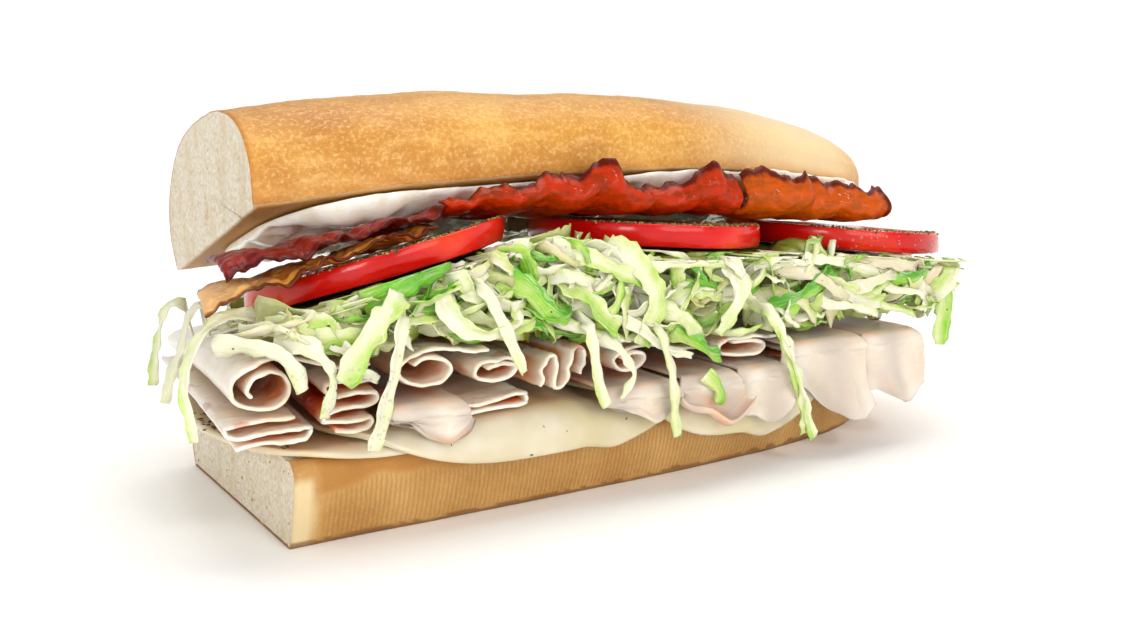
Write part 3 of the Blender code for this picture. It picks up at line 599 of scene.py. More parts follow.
def loft_parts(rings, values, caps, dip):
    """Points, faces and values through rings; each end closes in caps smaller rings, moved by dip(point)."""
    rings = np.asarray(rings, float)
    stack = list(rings)
    numbers = {key: list(rows) for key, rows in values.items()}
    for end, source in ((0, rings[0]), (1, rings[-1])):
        middle = source.mean(axis=0)
        added, extra = [], {key: [] for key in numbers}
        for k in range(1, caps):
            ring = middle + (source - middle) * (1.0 - k / caps)
            added.append(np.array([dip(point, end, k / caps) for point in ring]))
            for key in numbers:
                row = np.asarray(values[key][0 if end == 0 else -1], float)
                cut = np.ones_like(row) if key == "crumb" and end == 0 else np.zeros_like(row)
                extra[key].append(cut if key in ("crumb", "pale", "brown", "burnt", "ribbed") else row)
        if end == 0:
            stack = added[::-1] + stack
            numbers = {key: extra[key][::-1] + numbers[key] for key in numbers}
        else:
            stack += added
            numbers = {key: numbers[key] + extra[key] for key in numbers}
    stack = np.array(stack)
    count, size = stack.shape[:2]
    index = np.arange(count * size).reshape(count, size)
    a, b = index[:-1], index[1:]
    faces = np.stack([a, np.roll(a, -1, axis=1), np.roll(b, -1, axis=1), b], axis=-1).reshape(-1, 4).tolist()
    points = stack.reshape(-1, 3)
    for row in (0, -1):
        middle = len(points)
        points = np.concatenate([points, stack[row].mean(axis=0)[None]])
        ring = index[row]
        for k in range(size):
            pair = [int(ring[k]), int(ring[(k + 1) % size])]
            faces.append((pair[::-1] if row == 0 else pair) + [middle])
    merged = {}
    for key, rows in numbers.items():
        flat = np.concatenate([np.asarray(row, float) for row in rows])
        merged[key] = np.concatenate([flat, [float(np.mean(rows[0])), float(np.mean(rows[-1]))]])
    return points, faces, merged


# Loose bits scattered by one tree


def scatter_tree():
    """Small rounded bits strewn over a surface, each turned to it, ending as plain mesh."""
    tree = bpy.data.node_groups.new("strewn bits", "GeometryNodeTree")
    face = tree.interface
    face.new_socket("Surface", in_out="INPUT", socket_type="NodeSocketGeometry")
    for name, kind in (("Length", "Float"), ("Breadth", "Float"), ("Height", "Float"), ("Lift", "Float"),
                       ("Per square metre", "Float"), ("Seed", "Int"), ("Finish", "Material")):
        face.new_socket(name, in_out="INPUT", socket_type=f"NodeSocket{kind}")
    face.new_socket("Bits", in_out="OUTPUT", socket_type="NodeSocketGeometry")
    inside = tree.nodes.new("NodeGroupInput").outputs
    share = add(tree, "GeometryNodeInputNamedAttribute", {"Name": "strewn"}, data_type="FLOAT")
    density = add(tree, MATH, {0: share, 1: inside["Per square metre"]}, operation="MULTIPLY")
    spread = {"Mesh": inside["Surface"], "Density": density, "Seed": inside["Seed"]}
    points = add(tree, "GeometryNodeDistributePointsOnFaces", spread)
    rotation = points.node.outputs["Rotation"]
    ball = add(tree, "GeometryNodeMeshIcoSphere", {"Radius": 0.5, "Subdivisions": 2}, "Mesh")
    sizes = add(tree, VECTOR, {"X": inside["Length"], "Y": inside["Breadth"], "Z": inside["Height"]})
    lifted = add(tree, VECTOR, {"Z": inside["Lift"]})
    bit = add(tree, "GeometryNodeTransform", {"Geometry": ball, "Scale": sizes, "Translation": lifted})
    scale, spin = (
        add(tree, "FunctionNodeRandomValue", {2: low, 3: high, "Seed": inside["Seed"]}, 1, data_type="FLOAT")
        for low, high in ((0.4, 1.0), (-3.14, 3.14))
    )
    about = add(tree, VECTOR, {"Z": spin})
    turned = add(tree, "FunctionNodeRotateEuler", {"Rotation": rotation, "Rotate By": about}, space="LOCAL")
    placed = {"Points": points, "Instance": bit, "Rotation": turned, "Scale": scale}
    strewn = add(tree, "GeometryNodeInstanceOnPoints", placed)
    real = add(tree, "GeometryNodeRealizeInstances", {"Geometry": strewn})
    done = add(tree, "GeometryNodeSetMaterial", {"Geometry": real, "Material": inside["Finish"]})
    add(tree, "NodeGroupOutput", {"Bits": done})
    return tree


STREWN = scatter_tree()


def strew(name, surface, share, size, per_cm2, lift, seed, material, slot):
    """Bits of a size on a piece, where share(place, normal) is over 0, joined into one mesh."""
    mesh = surface.data.copy()
    attribute = mesh.attributes.new("strewn", "FLOAT", "POINT")
    attribute.data.foreach_set("value", [float(share(vert.co / MM, vert.normal)) for vert in mesh.vertices])
    carrier = bpy.data.objects.new(name, mesh)
    bpy.context.scene.collection.objects.link(carrier)
    modifier = carrier.modifiers.new("Bits", "NODES")
    modifier.node_group = STREWN
    length, breadth, height = size
    values = {
        "Length": length * MM, "Breadth": breadth * MM, "Height": height * MM, "Lift": lift * MM,
        "Per square metre": per_cm2 * 1e4, "Seed": seed, "Finish": material,
    }
    for item in STREWN.interface.items_tree:
        if item.name in values:
            modifier[item.identifier] = values[item.name]
    bpy.context.view_layer.update()
    made = bpy.data.meshes.new_from_object(carrier.evaluated_get(bpy.context.evaluated_depsgraph_get()))
    carrier.modifiers.clear()
    carrier.data = made
    made.shade_smooth()
    return place_on(carrier, slot)


def place_on(piece, slot, *nodes):
    """The piece rides on the sandwich and stands for its nodes; its slot is not used."""
    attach(piece, "root")
    if nodes:
        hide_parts(*nodes)
    return piece


# The roll


def stations(count, last=0.9995):
    """Places from 0 to almost 1, closer together towards the rounded tip."""
    places = np.linspace(0.0, 1.0, count + 1)
    return last * (0.35 * places + 0.65 * np.sin(0.5 * np.pi * places))


def pore(x, y, z):
    """Depth of the crumb's open pores, in millimetres."""
    near = noise.voronoi(Vector((x, y * 1.25, z)) / 2.6)[0][0]
    broad = noise.noise(Vector((x, y * 1.6, z * 0.8)) / 6.0)
    fine = noise.noise(Vector((x, y, z)) / 1.3)
    return 1.1 * (1.0 - smooth(near / 0.42)) * smooth(0.5 + 1.6 * broad) + 0.35 * fine


# Below this height the cut end of the roll is crust, with no pores
LOWEST_PORE_Z = 1.4


def cut_end(sunk, depth, steep):
    """The move that sinks the cut end's points into the crumb's pores, all but the lowest."""
    def dip(point, end, share):
        x, y, z = point
        if end == 1 or z < LOWEST_PORE_Z:
            return x, y, z
        return x + sunk + depth * pore(x, y, z) * smooth(share * steep), y, z

    return dip


def bottom_outline():
    """Half of the bottom bun's section, as (y, z, crumb) from its base to its top."""
    corner_z = BOTTOM_HEIGHT - CROWN_RADIUS
    outline = [(BASE_HALF_WIDTH * k / 16, 0.0, 0.0) for k in range(16)]
    for k in range(29):
        t = k / 29
        outline.append((BASE_HALF_WIDTH + SIDE_BULGE * math.sin(0.5 * math.pi * t), corner_z * t, 0.0))
    for k in range(10):
        turn = math.radians(10 * k)
        y = SIDE_Y - CROWN_RADIUS * (1.0 - math.cos(turn))
        outline.append((y, corner_z + CROWN_RADIUS * math.sin(turn), smooth((k - 7.5) / 1.5)))
    top_y = SIDE_Y - CROWN_RADIUS
    outline += [(top_y * (1.0 - k / 40), BOTTOM_HEIGHT, 1.0) for k in range(1, 41)]
    return outline


def bread_bottom(material):
    half = bottom_outline()
    ring = half + [(-y, z, crumb) for y, z, crumb in reversed(half[1:-1])]
    rings, values = [], {key: [] for key in ("crumb", "ribbed", "pale", "brown", "burnt")}
    for t in stations(150):
        row, numbers = [], {key: [] for key in values}
        for y, z, crumb in ring:
            tip = BASE_TIP_X + max(abs(y) - BASE_HALF_WIDTH, 0.0) + 5.0 * smooth(z / BOTTOM_HEIGHT)
            side = y * round_end(t, 5.0, 3.0)
            side -= math.copysign(abs(wobble(CUT_X + t * tip * 2, y, z, 35, 1.2)) * min(abs(y) / 30, 1.0), y)
            x = mix(CUT_X + CUT_SLANT * side, tip, t)
            up = z
            if crumb > 0.5:
                up -= 0.35 + 0.5 * pore(x, side, 0.0)
            elif z > 1.0:
                side += math.copysign(wobble(x, y, z, 6.0, 0.35), side)
            row.append((x, side, up))
            on_side = abs(y) > BASE_HALF_WIDTH - 0.5
            numbers["crumb"].append(crumb)
            ripple = wobble(x, y, z, 11, 2.4)
            band = smooth((z - 0.8) / 1.5) * smooth((15.4 + ripple - z) / 1.6)
            numbers["ribbed"].append(band * smooth((x - CUT_X - 2.0) / 6.0) if on_side else 0.0)
            near_cut = smooth((CUT_X + 3.6 - x + 0.4 * ripple) / 2.6)
            numbers["pale"].append(near_cut * smooth((19 - z) / 3) if on_side else 0.0)
            # Darker band along the top of the side: painted shadow of the overhanging cheese
            numbers["brown"].append(
                smooth((z - 14.0 - ripple) / 2.5) * (1.0 - crumb) * smooth((x - CUT_X - 1.0) / 4.0) * 0.8
            )
            numbers["burnt"].append(smooth((1.5 + 0.5 * ripple - z) / 1.2) * 0.8)
        rings.append(row)
        for key in values:
            values[key].append(numbers[key])

    points, faces, spread = loft_parts(rings, values, 44, cut_end(0.15, 0.7, 12))
    low = points[:, 2] < [1.2 + wobble(x, y, 0, 4.0, 1.6) for x, y, _ in points]
    spread["burnt"] = np.where(low, np.maximum(spread["burnt"], 0.7), spread["burnt"])
    spread["crumb"] = np.where(points[:, 2] < 0.75, 0.0, spread["crumb"])
    return place_on(piece_of("roll_bottom", points, outward(points, faces), material, spread),
                    "roll_tray_side", "bread_bottom")


def dome_outline():
    """The top bun's section, as (distance from the back corner, height over the cut face, crumb)."""
    centre = 0.5 * TOP_CHORD
    lip = [(mix(centre, TOP_CHORD - 1.5, k / 34), 0.0, 1.0) for k in range(35)]
    lip += [(TOP_CHORD - 0.45, 0.25, 0.8), (TOP_CHORD, 1.2, 0.25)]
    widest = centre + TOP_HALF_WIDTH
    side = [(mix(TOP_CHORD, widest, k / 6), mix(1.2, DOME_START, k / 6), 0.0) for k in range(1, 6)]
    power = 2.0 / DOME_ROUNDNESS
    arc = []
    for k in range(45):
        turn = 0.5 * math.pi * k / 45
        across = math.cos(turn) ** power
        arc.append((centre + TOP_HALF_WIDTH * across, DOME_START + DOME_RISE * math.sin(turn) ** power, 0.0))
    half = lip + side + arc
    crown = [(centre, DOME_START + DOME_RISE, 0.0)]
    return half + crown + [(2 * centre - across, up, crumb) for across, up, crumb in reversed(half[1:])]


def bread_top(material):
    centre = 0.5 * TOP_CHORD
    outline = dome_outline()
    rings, values = [], {key: [] for key in ("crumb", "pale", "brown", "tan")}
    for t in stations(190):
        row, numbers = [], {key: [] for key in values}
        for across, up, crumb in outline:
            width = round_end(t, 5.0, 3.0)
            height = mix(0.12, 1.0, round_end(t, 4.0, 2.8)) * (1.0 - 0.09 * smooth(1.6 * t - 0.15))
            swell = FRONT_SWELL * smooth(across / centre - 1.0) * smooth(5.0 * t)
            back = centre + (across - centre + swell) * width
            x = mix(CUT_X, TOP_TIP_X, t)
            rise = up * height + wobble(x, across, up, 30, 1.6) * smooth(up / 12)
            if crumb < 0.5:
                rise += wobble(x * 1.6, across, up, 5.0, 0.22) * smooth(up / 8)
                outwards = 1.0 if across > centre else -1.0
                back += wobble(x, 3.0, up, 3.5, 0.5) * smooth(1.0 - up / 6) * outwards
            else:
                rise += 0.15 + 0.55 * pore(x, across, 0.0)
            y = HINGE_Y - back * math.cos(TILT) + rise * math.sin(TILT)
            z = HINGE_Z + back * math.sin(TILT) + rise * math.cos(TILT) + along(ARCH, x)
            row.append((x + CUT_SLANT * y * (1.0 - t), y, z))
            numbers["crumb"].append(crumb)
            # Paler crust towards the tip: partly the crust's own colour and partly a painted sheen
            towards_tip = 0.9 * smooth((x - 15.0) / 55.0) * smooth((108.0 - x) / 26.0)
            numbers["pale"].append(towards_tip * (1.0 - crumb))
            # Darker crust: painted shade along the lower edge, on the back half and at the top, and the real
            # crust line at the cut end
            near_edge = smooth(1.0 - up / 5.0) * 0.55 + smooth((CUT_X + 3.0 - x) / 3.0) * 0.6
            crown = 0.5 * smooth((across - centre) / -14.0) + 0.35 * smooth((up - 28.0) / 5.0)
            numbers["brown"].append(min(near_edge + crown * smooth((60 - x) / 60), 1.0) * (1.0 - crumb))
            # tan marks the crumb face that looks down under the fillings, for painted shade; the cut end is
            # left out below
            numbers["tan"].append(crumb)
        rings.append(row)
        for key in values:
            values[key].append(numbers[key])

    points, faces, spread = loft_parts(rings, values, 46, cut_end(0.1, 0.8, 10))
    spread["tan"] = np.where(points[:, 0] < CUT_X + 0.079 * points[:, 1] + 1.2, 0.0, spread["tan"])
    return place_on(piece_of("roll_top", points, outward(points, faces), material, spread),
                    "roll_crust", "bread_top")


# Sauce, cheese and tomato


# Tomato slices as centre x, y, z of the middle plane, then the rise to the right of the view and the bend
TOMATOES = (
    (-66.0, -12.0, 60.6, 0.29, 0.006),
    (18.0, -12.0, 63.0, -0.045, 0.012),
    (91.0, -10.0, 55.9, -0.08, 0.011),
)
VIEW_RIGHT = Vector((0.837, -0.548))
TOMATO_DROP = 0.09


def tomato_height(number, x, y):
    """Height of a slice's middle plane: straight along the front, bending down towards the back."""
    at_x, at_y, at_z, rise, bend = TOMATOES[number]
    out = Vector((x - at_x, y - at_y))
    sideways = out.dot(VIEW_RIGHT)
    inwards = out.dot(Vector((-VIEW_RIGHT.y, VIEW_RIGHT.x)))
    return at_z + rise * sideways - TOMATO_DROP * inwards - bend * max(inwards, 0.0) ** 2


def clear_of_tomatoes(x, y, height, room, reach=6.0):
    """The height, moved to keep room over any tomato slice there, or under it where room is negative."""
    side = math.copysign(1.0, room)
    for number, (at_x, at_y, *_) in enumerate(TOMATOES):
        if math.hypot(x - at_x, y - at_y) < TOMATO_RADIUS + reach:
            face = tomato_height(number, x, y) + side * 0.5 * TOMATO_THICK + room
            height = side * max(side * height, side * face)
    return height


def tomato(number, material):
    """A slice with straight, slightly swollen skin and slightly sunken gel pockets."""
    at_x, at_y, *_ = TOMATOES[number]
    profile = [(k / 26, 1.0) for k in range(1, 26)]
    edge = ((0.985, 1.0), (0.995, 0.95), (1.0, 0.84), (1.006, 0.45), (1.008, 0.0))
    profile += list(edge)
    profile += [(r, -side) for r, side in reversed(profile[:-1])]
    turns = 132
    rings, values = [], {"rim": [], "gel": []}
    draw = random.Random(number + 5)
    phase = draw.uniform(0, 6.28)
    for share, side in profile:
        row, rim, gel = [], [], []
        for k in range(turns):
            angle = 2.0 * math.pi * k / turns
            edge_wave = 1.0 + 0.008 * math.sin(3 * angle + phase) + 0.004 * math.sin(7 * angle)
            x = at_x + TOMATO_RADIUS * share * edge_wave * math.cos(angle)
            y = at_y + TOMATO_RADIUS * share * edge_wave * math.sin(angle)
            lobe = abs(math.sin(2.5 * (angle + phase + 0.25 * math.sin(2 * angle))))
            pocket = smooth((lobe - 0.30) / 0.22) * smooth((share - 0.24) / 0.12)
            pocket *= smooth((0.82 - share) / 0.08)
            face = abs(side) > 0.99
            sink = 0.45 * pocket * (1.0 if face else 0.0)
            half = 0.5 * TOMATO_THICK * side - math.copysign(sink, side)
            z = tomato_height(number, x, y) + half + wobble(x, y, side, 9.0, 0.18)
            row.append((x, y, z))
            rim.append(0.0 if face and share < 0.975 else 1.0)
            gel.append(pocket if face else 0.0)
        rings.append(row)
        values["rim"].append(rim)
        values["gel"].append(gel)
    points, faces, spread = loft_parts(rings, values, 1, None)
    spread["rim"][-2:] = 0.0
    return place_on(piece_of(f"tomato_slice_{number + 1}", points, outward(points, faces), material, spread),
                    "tomato", f"tomato_{number + 1}")


def bump(x, y, at_x, at_y, half_x, half_y):
    return math.exp(-(((x - at_x) / half_x) ** 2) - ((y - at_y) / half_y) ** 2)


def mayonnaise_thick(x, y):
    """Thickness of the spread, with the blobs that swell out at the front."""
    thick = 2.6 + wobble(x, y, 0, 14, 1.6)
    thick += 5.0 * bump(x, y, -74, -23, 17, 9)
    thick += 2.0 * bump(x, y, 22, -20, 16, 10)
    thick += 1.5 * bump(x, y, 55, -22, 12, 8)
    return thick


def mayonnaise(material):
    start_x, end_x, back_y = -93.0, 100.0, 41.0
    columns, rows = 210, 60
    rings = []
    for i in range(columns + 1):
        t = i / columns
        x = mix(start_x, end_x, t)
        narrow = round_end(abs(2 * t - 1) * 0.995, 8.0, 3.0)
        swells = (bump(x, 0, at_x, 0, half_x, 1) for at_x, half_x in ((-72, 26), (22, 18), (52, 10)))
        front_y = -24.5 - 3.0 * max(swells)
        front_y += wobble(x, 7, 0, 7, 1.6) + wobble(x, 2, 0, 3, 0.6)
        middle_y = 0.5 * (front_y + back_y)
        half = 0.5 * (back_y - front_y) * narrow
        top, bottom = [], []
        for j in range(rows + 1):
            across = -math.cos(math.pi * j / rows)
            y = middle_y + half * across
            level = under_bun(x, y) - 0.3
            edge = math.sqrt(max(1.0 - across**8, 0.0))
            top.append((x, y, level - 0.6 * (1.0 - edge)))
            thick = (mayonnaise_thick(x, y) + wobble(x, y, 4, 5.5, 2.0)) * mix(0.3, 1.0, narrow)
            low = level - 0.6 - max(thick, 0.4) * mix(0.15, 1.0, edge)
            bottom.append((x, y, min(clear_of_tomatoes(x, y, low, 0.4), level - 0.7)))
        rings.append(top + bottom[::-1])
    points, faces, spread = loft_parts(rings, {}, 2, lambda point, end, share: point)
    return place_on(piece_of("mayonnaise_spread", points, outward(points, faces), material, spread),
                    "mayonnaise", "mayonnaise")


# Cheese slices as centre x and y, half sizes in x and y, squareness, and the x where the slice steps down
CHEESES = (
    (-76.0, -1.0, 45.0, 46.0, 2.4, None),
    (-39.0, -9.0, 58.0, 47.5, 2.6, -28.0),
    (24.0, -13.0, 41.0, 47.0, 2.4, 22.0),
)


def disc(u, v):
    """A unit square's point moved onto the unit disc."""
    a, b = 2.0 * u - 1.0, 2.0 * v - 1.0
    return a * math.sqrt(1.0 - 0.5 * b * b), b * math.sqrt(1.0 - 0.5 * a * a)


def rounded_square(u, v, squareness):
    """A unit square's point moved onto a disc whose sides are flattened by squareness."""
    a, b = disc(u, v)
    radius = math.hypot(a, b)
    if radius < 1e-6:
        return 0.0, 0.0
    reach = (abs(a / radius) ** squareness + abs(b / radius) ** squareness) ** (-1.0 / squareness)
    return a * reach, b * reach


def drape(x, reach, lift):
    """A point of a slice that lies on the bottom bun and hangs over its front edge."""
    radius = CROWN_RADIUS + lift
    turn = 0.5 * math.pi * radius
    straight = -reach - (CHEESE_HANG_Y - CROWN_RADIUS)
    if straight <= 0.0:
        return x, reach, BOTTOM_HEIGHT + lift
    if straight < turn:
        angle = straight / radius
        y = -(CHEESE_HANG_Y - CROWN_RADIUS) - radius * math.sin(angle)
        return x, y, BOTTOM_HEIGHT - CROWN_RADIUS + radius * math.cos(angle)
    return x, -CHEESE_HANG_Y - lift, BOTTOM_HEIGHT - CROWN_RADIUS - (straight - turn)


def cheese(number, material):
    at_x, at_y, half_x, half_y, squareness, step_x = CHEESES[number]

    def place(u, v):
        across, back = rounded_square(u, v, squareness)
        x = at_x + half_x * across
        lift = 0.3 + 0.5 * CHEESE_THICK + wobble(x, back * 40, 0, 20, 0.2) + 0.35
        if step_x is not None:
            lift += (CHEESE_THICK + 0.9) * smooth((step_x + 14 - x) / 14)
        overhang = max(-96 - x, 0.0)
        x, y, z = drape(x, at_y + half_y * back, lift)
        return drawn_in(x, y), y - 0.25 * noise.noise(Vector((x, z, 3.0)) / 12.0), z + 0.004 * overhang**2

    grid, _, _ = grid_of(84, 84, place)
    # Painted warm shade and glow on the cheese's top under the fillings, not on its hanging edge
    inside = np.clip((-grid[..., 1] - 40.0) / 6.0, 0.0, 1.0)
    past_cut = np.clip((grid[..., 0] + 104.0) / 6.0, 0, 1)
    inside = 0.35 * np.where((grid[..., 2] > 20.0), 1.0 - inside, 0.0) * past_cut
    return place_on(sheet(f"provolone_slice_{number + 1}", grid, CHEESE_THICK, material, {"inside": inside}),
                    "provolone", f"cheese_{number + 1}")


# Turkey


def folds(x0, x1, z0, z1, layers, seed):
    """A slice folded to and fro: uneven runs between x0 and x1, joined by round turns."""
    draw = random.Random(seed)
    gaps = [draw.uniform(0.8, 1.25) for _ in range(layers - 1)]
    levels = [z0 + (z1 - z0) * sum(gaps[:layer]) / sum(gaps) for layer in range(layers)]
    inset = 0.75 * (z1 - z0) / (layers - 1)
    ends = [(x0 + inset + draw.uniform(0, 4), x1 - inset - draw.uniform(0, 4)) for _ in range(layers)]
    points = []
    for layer, (left, right) in enumerate(ends):
        runs_right = layer % 2 == 0
        for k in range(3):
            t = k / 2 if runs_right else 1.0 - k / 2
            sag = 0.4 * math.sin(math.pi * t) * math.sin(2.0 * seed + 1.3 * layer)
            points.append((mix(left, right, t), levels[layer] + sag))
        if layer < layers - 1:
            side = 1.0 if runs_right else -1.0
            start = right if runs_right else left
            following = ends[layer + 1][1 if runs_right else 0]
            half = 0.5 * (levels[layer + 1] - levels[layer])
            for k in range(1, 4):
                angle = math.pi * k / 4
                x = mix(start, following, k / 4) + side * half * 1.5 * math.sin(angle)
                points.append((x, levels[layer] + half - half * math.cos(angle)))
    return points


def pleats(x0, x1, z0, z1, layers, seed):
    """The same slice gathered sideways, so that its runs stand up and lean over."""
    return [(x + 0.25 * (z - z0), z) for z, x in folds(z0, z1, x0, x1, layers, seed)]


def roll(at_x, at_z, half_x, half_z, turns, tail_x, tail_z):
    """A slice rolled up, seen end on, with its free end running to tail_x."""
    points = []
    count = int(10 * turns)
    for k in range(count + 1):
        t = k / count
        angle = 0.5 * math.pi + 2.0 * math.pi * turns * (1.0 - t)
        size = mix(1.0 - 0.42 * turns, 1.0, t)
        points.append((at_x + half_x * size * math.cos(angle), at_z + half_z * size * math.sin(angle)))
    top_z = at_z + half_z
    for k in range(1, 6):
        t = k / 5
        dip = 0.35 * math.sin(2 * math.pi * t)
        points.append((mix(at_x, tail_x, t), mix(top_z, tail_z, smooth(t)) + dip))
    return points


# Turkey slices, folded or rolled, as they show along the open front
TURKEYS = (
    roll(-110.3, 41.2, 8.8, 6.1, 1.35, -84.0, 43.4),
    folds(-121, -98, 28.5, 33.6, 3, 3),
    folds(-98, -81.5, 28.6, 40.0, 5, 5),
    roll(-69.0, 40.3, 8.8, 4.5, 1.15, -53.0, 43.5),
    folds(-80, -41, 28.5, 30.7, 2, 8),
    roll(-50.0, 37.7, 7.6, 3.0, 1.15, -42.5, 39.8),
    pleats(-39, -27, 29.0, 40.6, 4, 7),
    roll(-10.5, 35.4, 5.6, 3.3, 1.2, 12.0, 36.4),
    roll(27.0, 34.4, 9.5, 2.7, 1.1, 39.0, 36.0),
    folds(41, 90, 28.2, 30.6, 2, 21),
)
# How strongly each slice takes the painted orange to red glow and shade inside its folds
WARMTH = (1.0, 1.0, 1.1, 0.35, 1.4, 0.5, 0.6, 0.5, 0.6, 0.9)

# Turkey flaps that hang over the front, as x of both sides, the height inside, how low each side hangs,
# how far out the flap hangs, and the radius of the curl at its lower end
FLAPS = (
    (-79.5, -62.5, 32.9, 27.0, 23.5, 50.4, 0.0),
    (-21.0, -1.0, 29.6, 23.0, 20.5, 52.4, 0.0),
    (3.0, 19.5, 29.6, 20.5, 17.5, 52.4, 2.3),
    (22.0, 36.5, 29.6, 14.0, 15.5, 52.4, 0.0),
    (39.5, 65.0, 34.0, 21.0, 7.0, 51.2, 0.0),
    (68.0, 87.0, 33.4, 14.0, 12.0, 51.2, 0.0),
)
FLAP_BEND = 3.2
BEND_START = 3 / 9
BEND_END = 5 / 9
CURL_START = 0.25


def pressed_share(x, y):
    """Share of its height at the open front that the turkey keeps at depth y, where it is pressed flatter."""
    return min((turkey_top(x, y) - TURKEY_BOTTOM) / (along(TURKEY_TOP, x) - TURKEY_BOTTOM), 1.0)


def fanned(x, y, z):
    """Height at depth y of turkey that is z high at the open front."""
    return TURKEY_BOTTOM + (z - TURKEY_BOTTOM) * pressed_share(x, y)


def turkey_front(x, z):
    """How far the meat reaches out of the open front, uneven from fold to fold."""
    return -46.6 + wobble(x, 0, z * 1.6, 9, 2.6)


def folded_turkey(number, material):
    path = TURKEYS[number]

    def place(u, v):
        x, z = smooth_path(path, u)
        y = mix(turkey_front(x, z) + wobble(x, 5, z, 2.2, 0.8), 44.0 + wobble(x, 9, z, 12, 2.0), v)
        ruffle = wobble(x, y, z * 2, 7.0, 0.3) + wobble(x, y * 1.5, z * 2, 2.6, 0.28)
        return drawn_in(x, y), y, fanned(x, y, z) + ruffle

    vs = np.concatenate([np.linspace(0, 0.2, 24), np.linspace(0.2, 1.0, 24)[1:]])
    grid, us, vs = grid_of((len(path) - 1) * 6, len(vs) - 1, place, vs=vs)
    thick = TURKEY_THICK * np.array([[pressed_share(point[0], point[1]) for point in row] for row in grid])
    # Painted glow and shade in the folds: deep behind the open front, back and left end, only where a fold
    # lies over it
    front_x, front_z = grid[0, :, 0], grid[0, :, 2]
    over = np.array([front_z[np.abs(front_x - x) < 3.0].max() - z for x, z in zip(front_x, front_z)])
    covered = np.clip((over - 0.8) / 1.2, 0.0, 1.0)[None]
    front = (grid[..., 1] + 46.3) / 7.0
    back = (43.0 - grid[..., 1]) / 7.0
    open_end = (grid[..., 0] + 121.0 - 0.19 * (grid[..., 1] - FRONT_Y)) / 28.0
    deep = np.clip(np.minimum(np.minimum(front, back), open_end), 0.0, 1.0) * WARMTH[number] * covered
    values = {"inside": deep, "roast": (1.0 - covered) * np.ones_like(deep)}
    return place_on(
        sheet(f"turkey_slice_{number + 1}", grid, thick, material, values), "turkey", f"turkey_{number + 1}",
    )


def flap(number, left_x, right_x, inside_z, left_low, right_low, out_y, curl, material):
    """A slice that lies flat inside, bends over the front edge and hangs, its end straight or curled up."""
    hang = CURL_START if curl else 1.0

    def place(u, v):
        x = mix(left_x, right_x, u)
        low = mix(left_low, right_low, u) + 1.8 * math.sin(7.0 * u) + wobble(x, number, 0, 3.5, 1.3)
        level = fanned(x, FRONT_Y, inside_z)
        if v < BEND_START:
            y = mix(43.0, FLAP_BEND - out_y, v / BEND_START)
            return drawn_in(x, y), y, fanned(x, y, inside_z)
        dent = wobble(x, v * 60, 3, 8.0, 0.7) * smooth((v - BEND_START) * 4)
        outside = smooth((v - BEND_START) * 5.0)
        x += 0.17 * outside * (x - mix(left_x, right_x, 0.5))
        shingled = -2.0 * (u - 0.5) * outside
        if v < BEND_END:
            angle = 0.5 * math.pi * (v - BEND_START) / (BEND_END - BEND_START)
            y = FLAP_BEND - out_y - FLAP_BEND * math.sin(angle)
            return x, y + dent + shingled, level - FLAP_BEND + FLAP_BEND * math.cos(angle)
        t = (v - BEND_END) / (1.0 - BEND_END)
        x += 0.12 * t * (x - mix(left_x, right_x, 0.5))
        low += 3.2 * abs(2.0 * u - 1.0) ** 4
        x += 3.0 * t * t * (number > 14)
        deep = (0.4 + 0.6 * t) * (2.1 if number > 14 else 1.4)
        pleat = deep * math.sin(8.5 * u - 2.2 * t + 1.7 * number) + wobble(x, t * 9, number, 5.0, 1.4) * t
        pleat = pleat + dent + shingled
        if t < hang:
            return x, pleat - out_y, mix(level - FLAP_BEND, low + curl, t / hang)
        angle = 0.85 * math.pi * (t - hang) / (1.0 - hang)
        return x, pleat - out_y - curl * (1.0 - math.cos(angle)), low + curl - curl * math.sin(angle)

    vs = np.concatenate([np.linspace(0, BEND_START, 20), np.linspace(BEND_START, 1.0, 44)[1:]])
    grid, us, vs = grid_of(44, len(vs) - 1, place, vs=vs)
    flat = np.ones(grid.shape[:2])
    # inside paints orange glow and shade on the flaps: where they lie inside, in the curl, low on the first
    # flap and along the bend
    within = np.clip((grid[..., 1] + 46.0) / 8.0, 0.0, 1.0)
    trough = np.clip((vs[:, None] - BEND_END) * 6.0, 0.0, 0.35) * flat * (curl > 0.0)
    lower = np.clip((vs[:, None] - 0.80) * 3.0, 0.0, 0.45) * flat * (number == 11)
    crease = 0.35 * np.exp(-(((vs[:, None] - BEND_START - 0.06) / 0.06) ** 2)) * flat
    # The flaps are darkened to a mauve grey as painted shade, since they stand out into the light more than
    # the folds
    values = {
        "inside": np.maximum(np.maximum(within, trough), np.maximum(lower, crease)),
        "roast": 0.4 * vs[:, None] * flat, "cool": (0.65 + 0.25 * np.sin(9.0 * us[None] + number)) * flat,
    }
    return place_on(
        sheet(f"turkey_slice_{number}", grid, TURKEY_THICK, material, values), "turkey", f"turkey_{number}",
    )


# Bacon


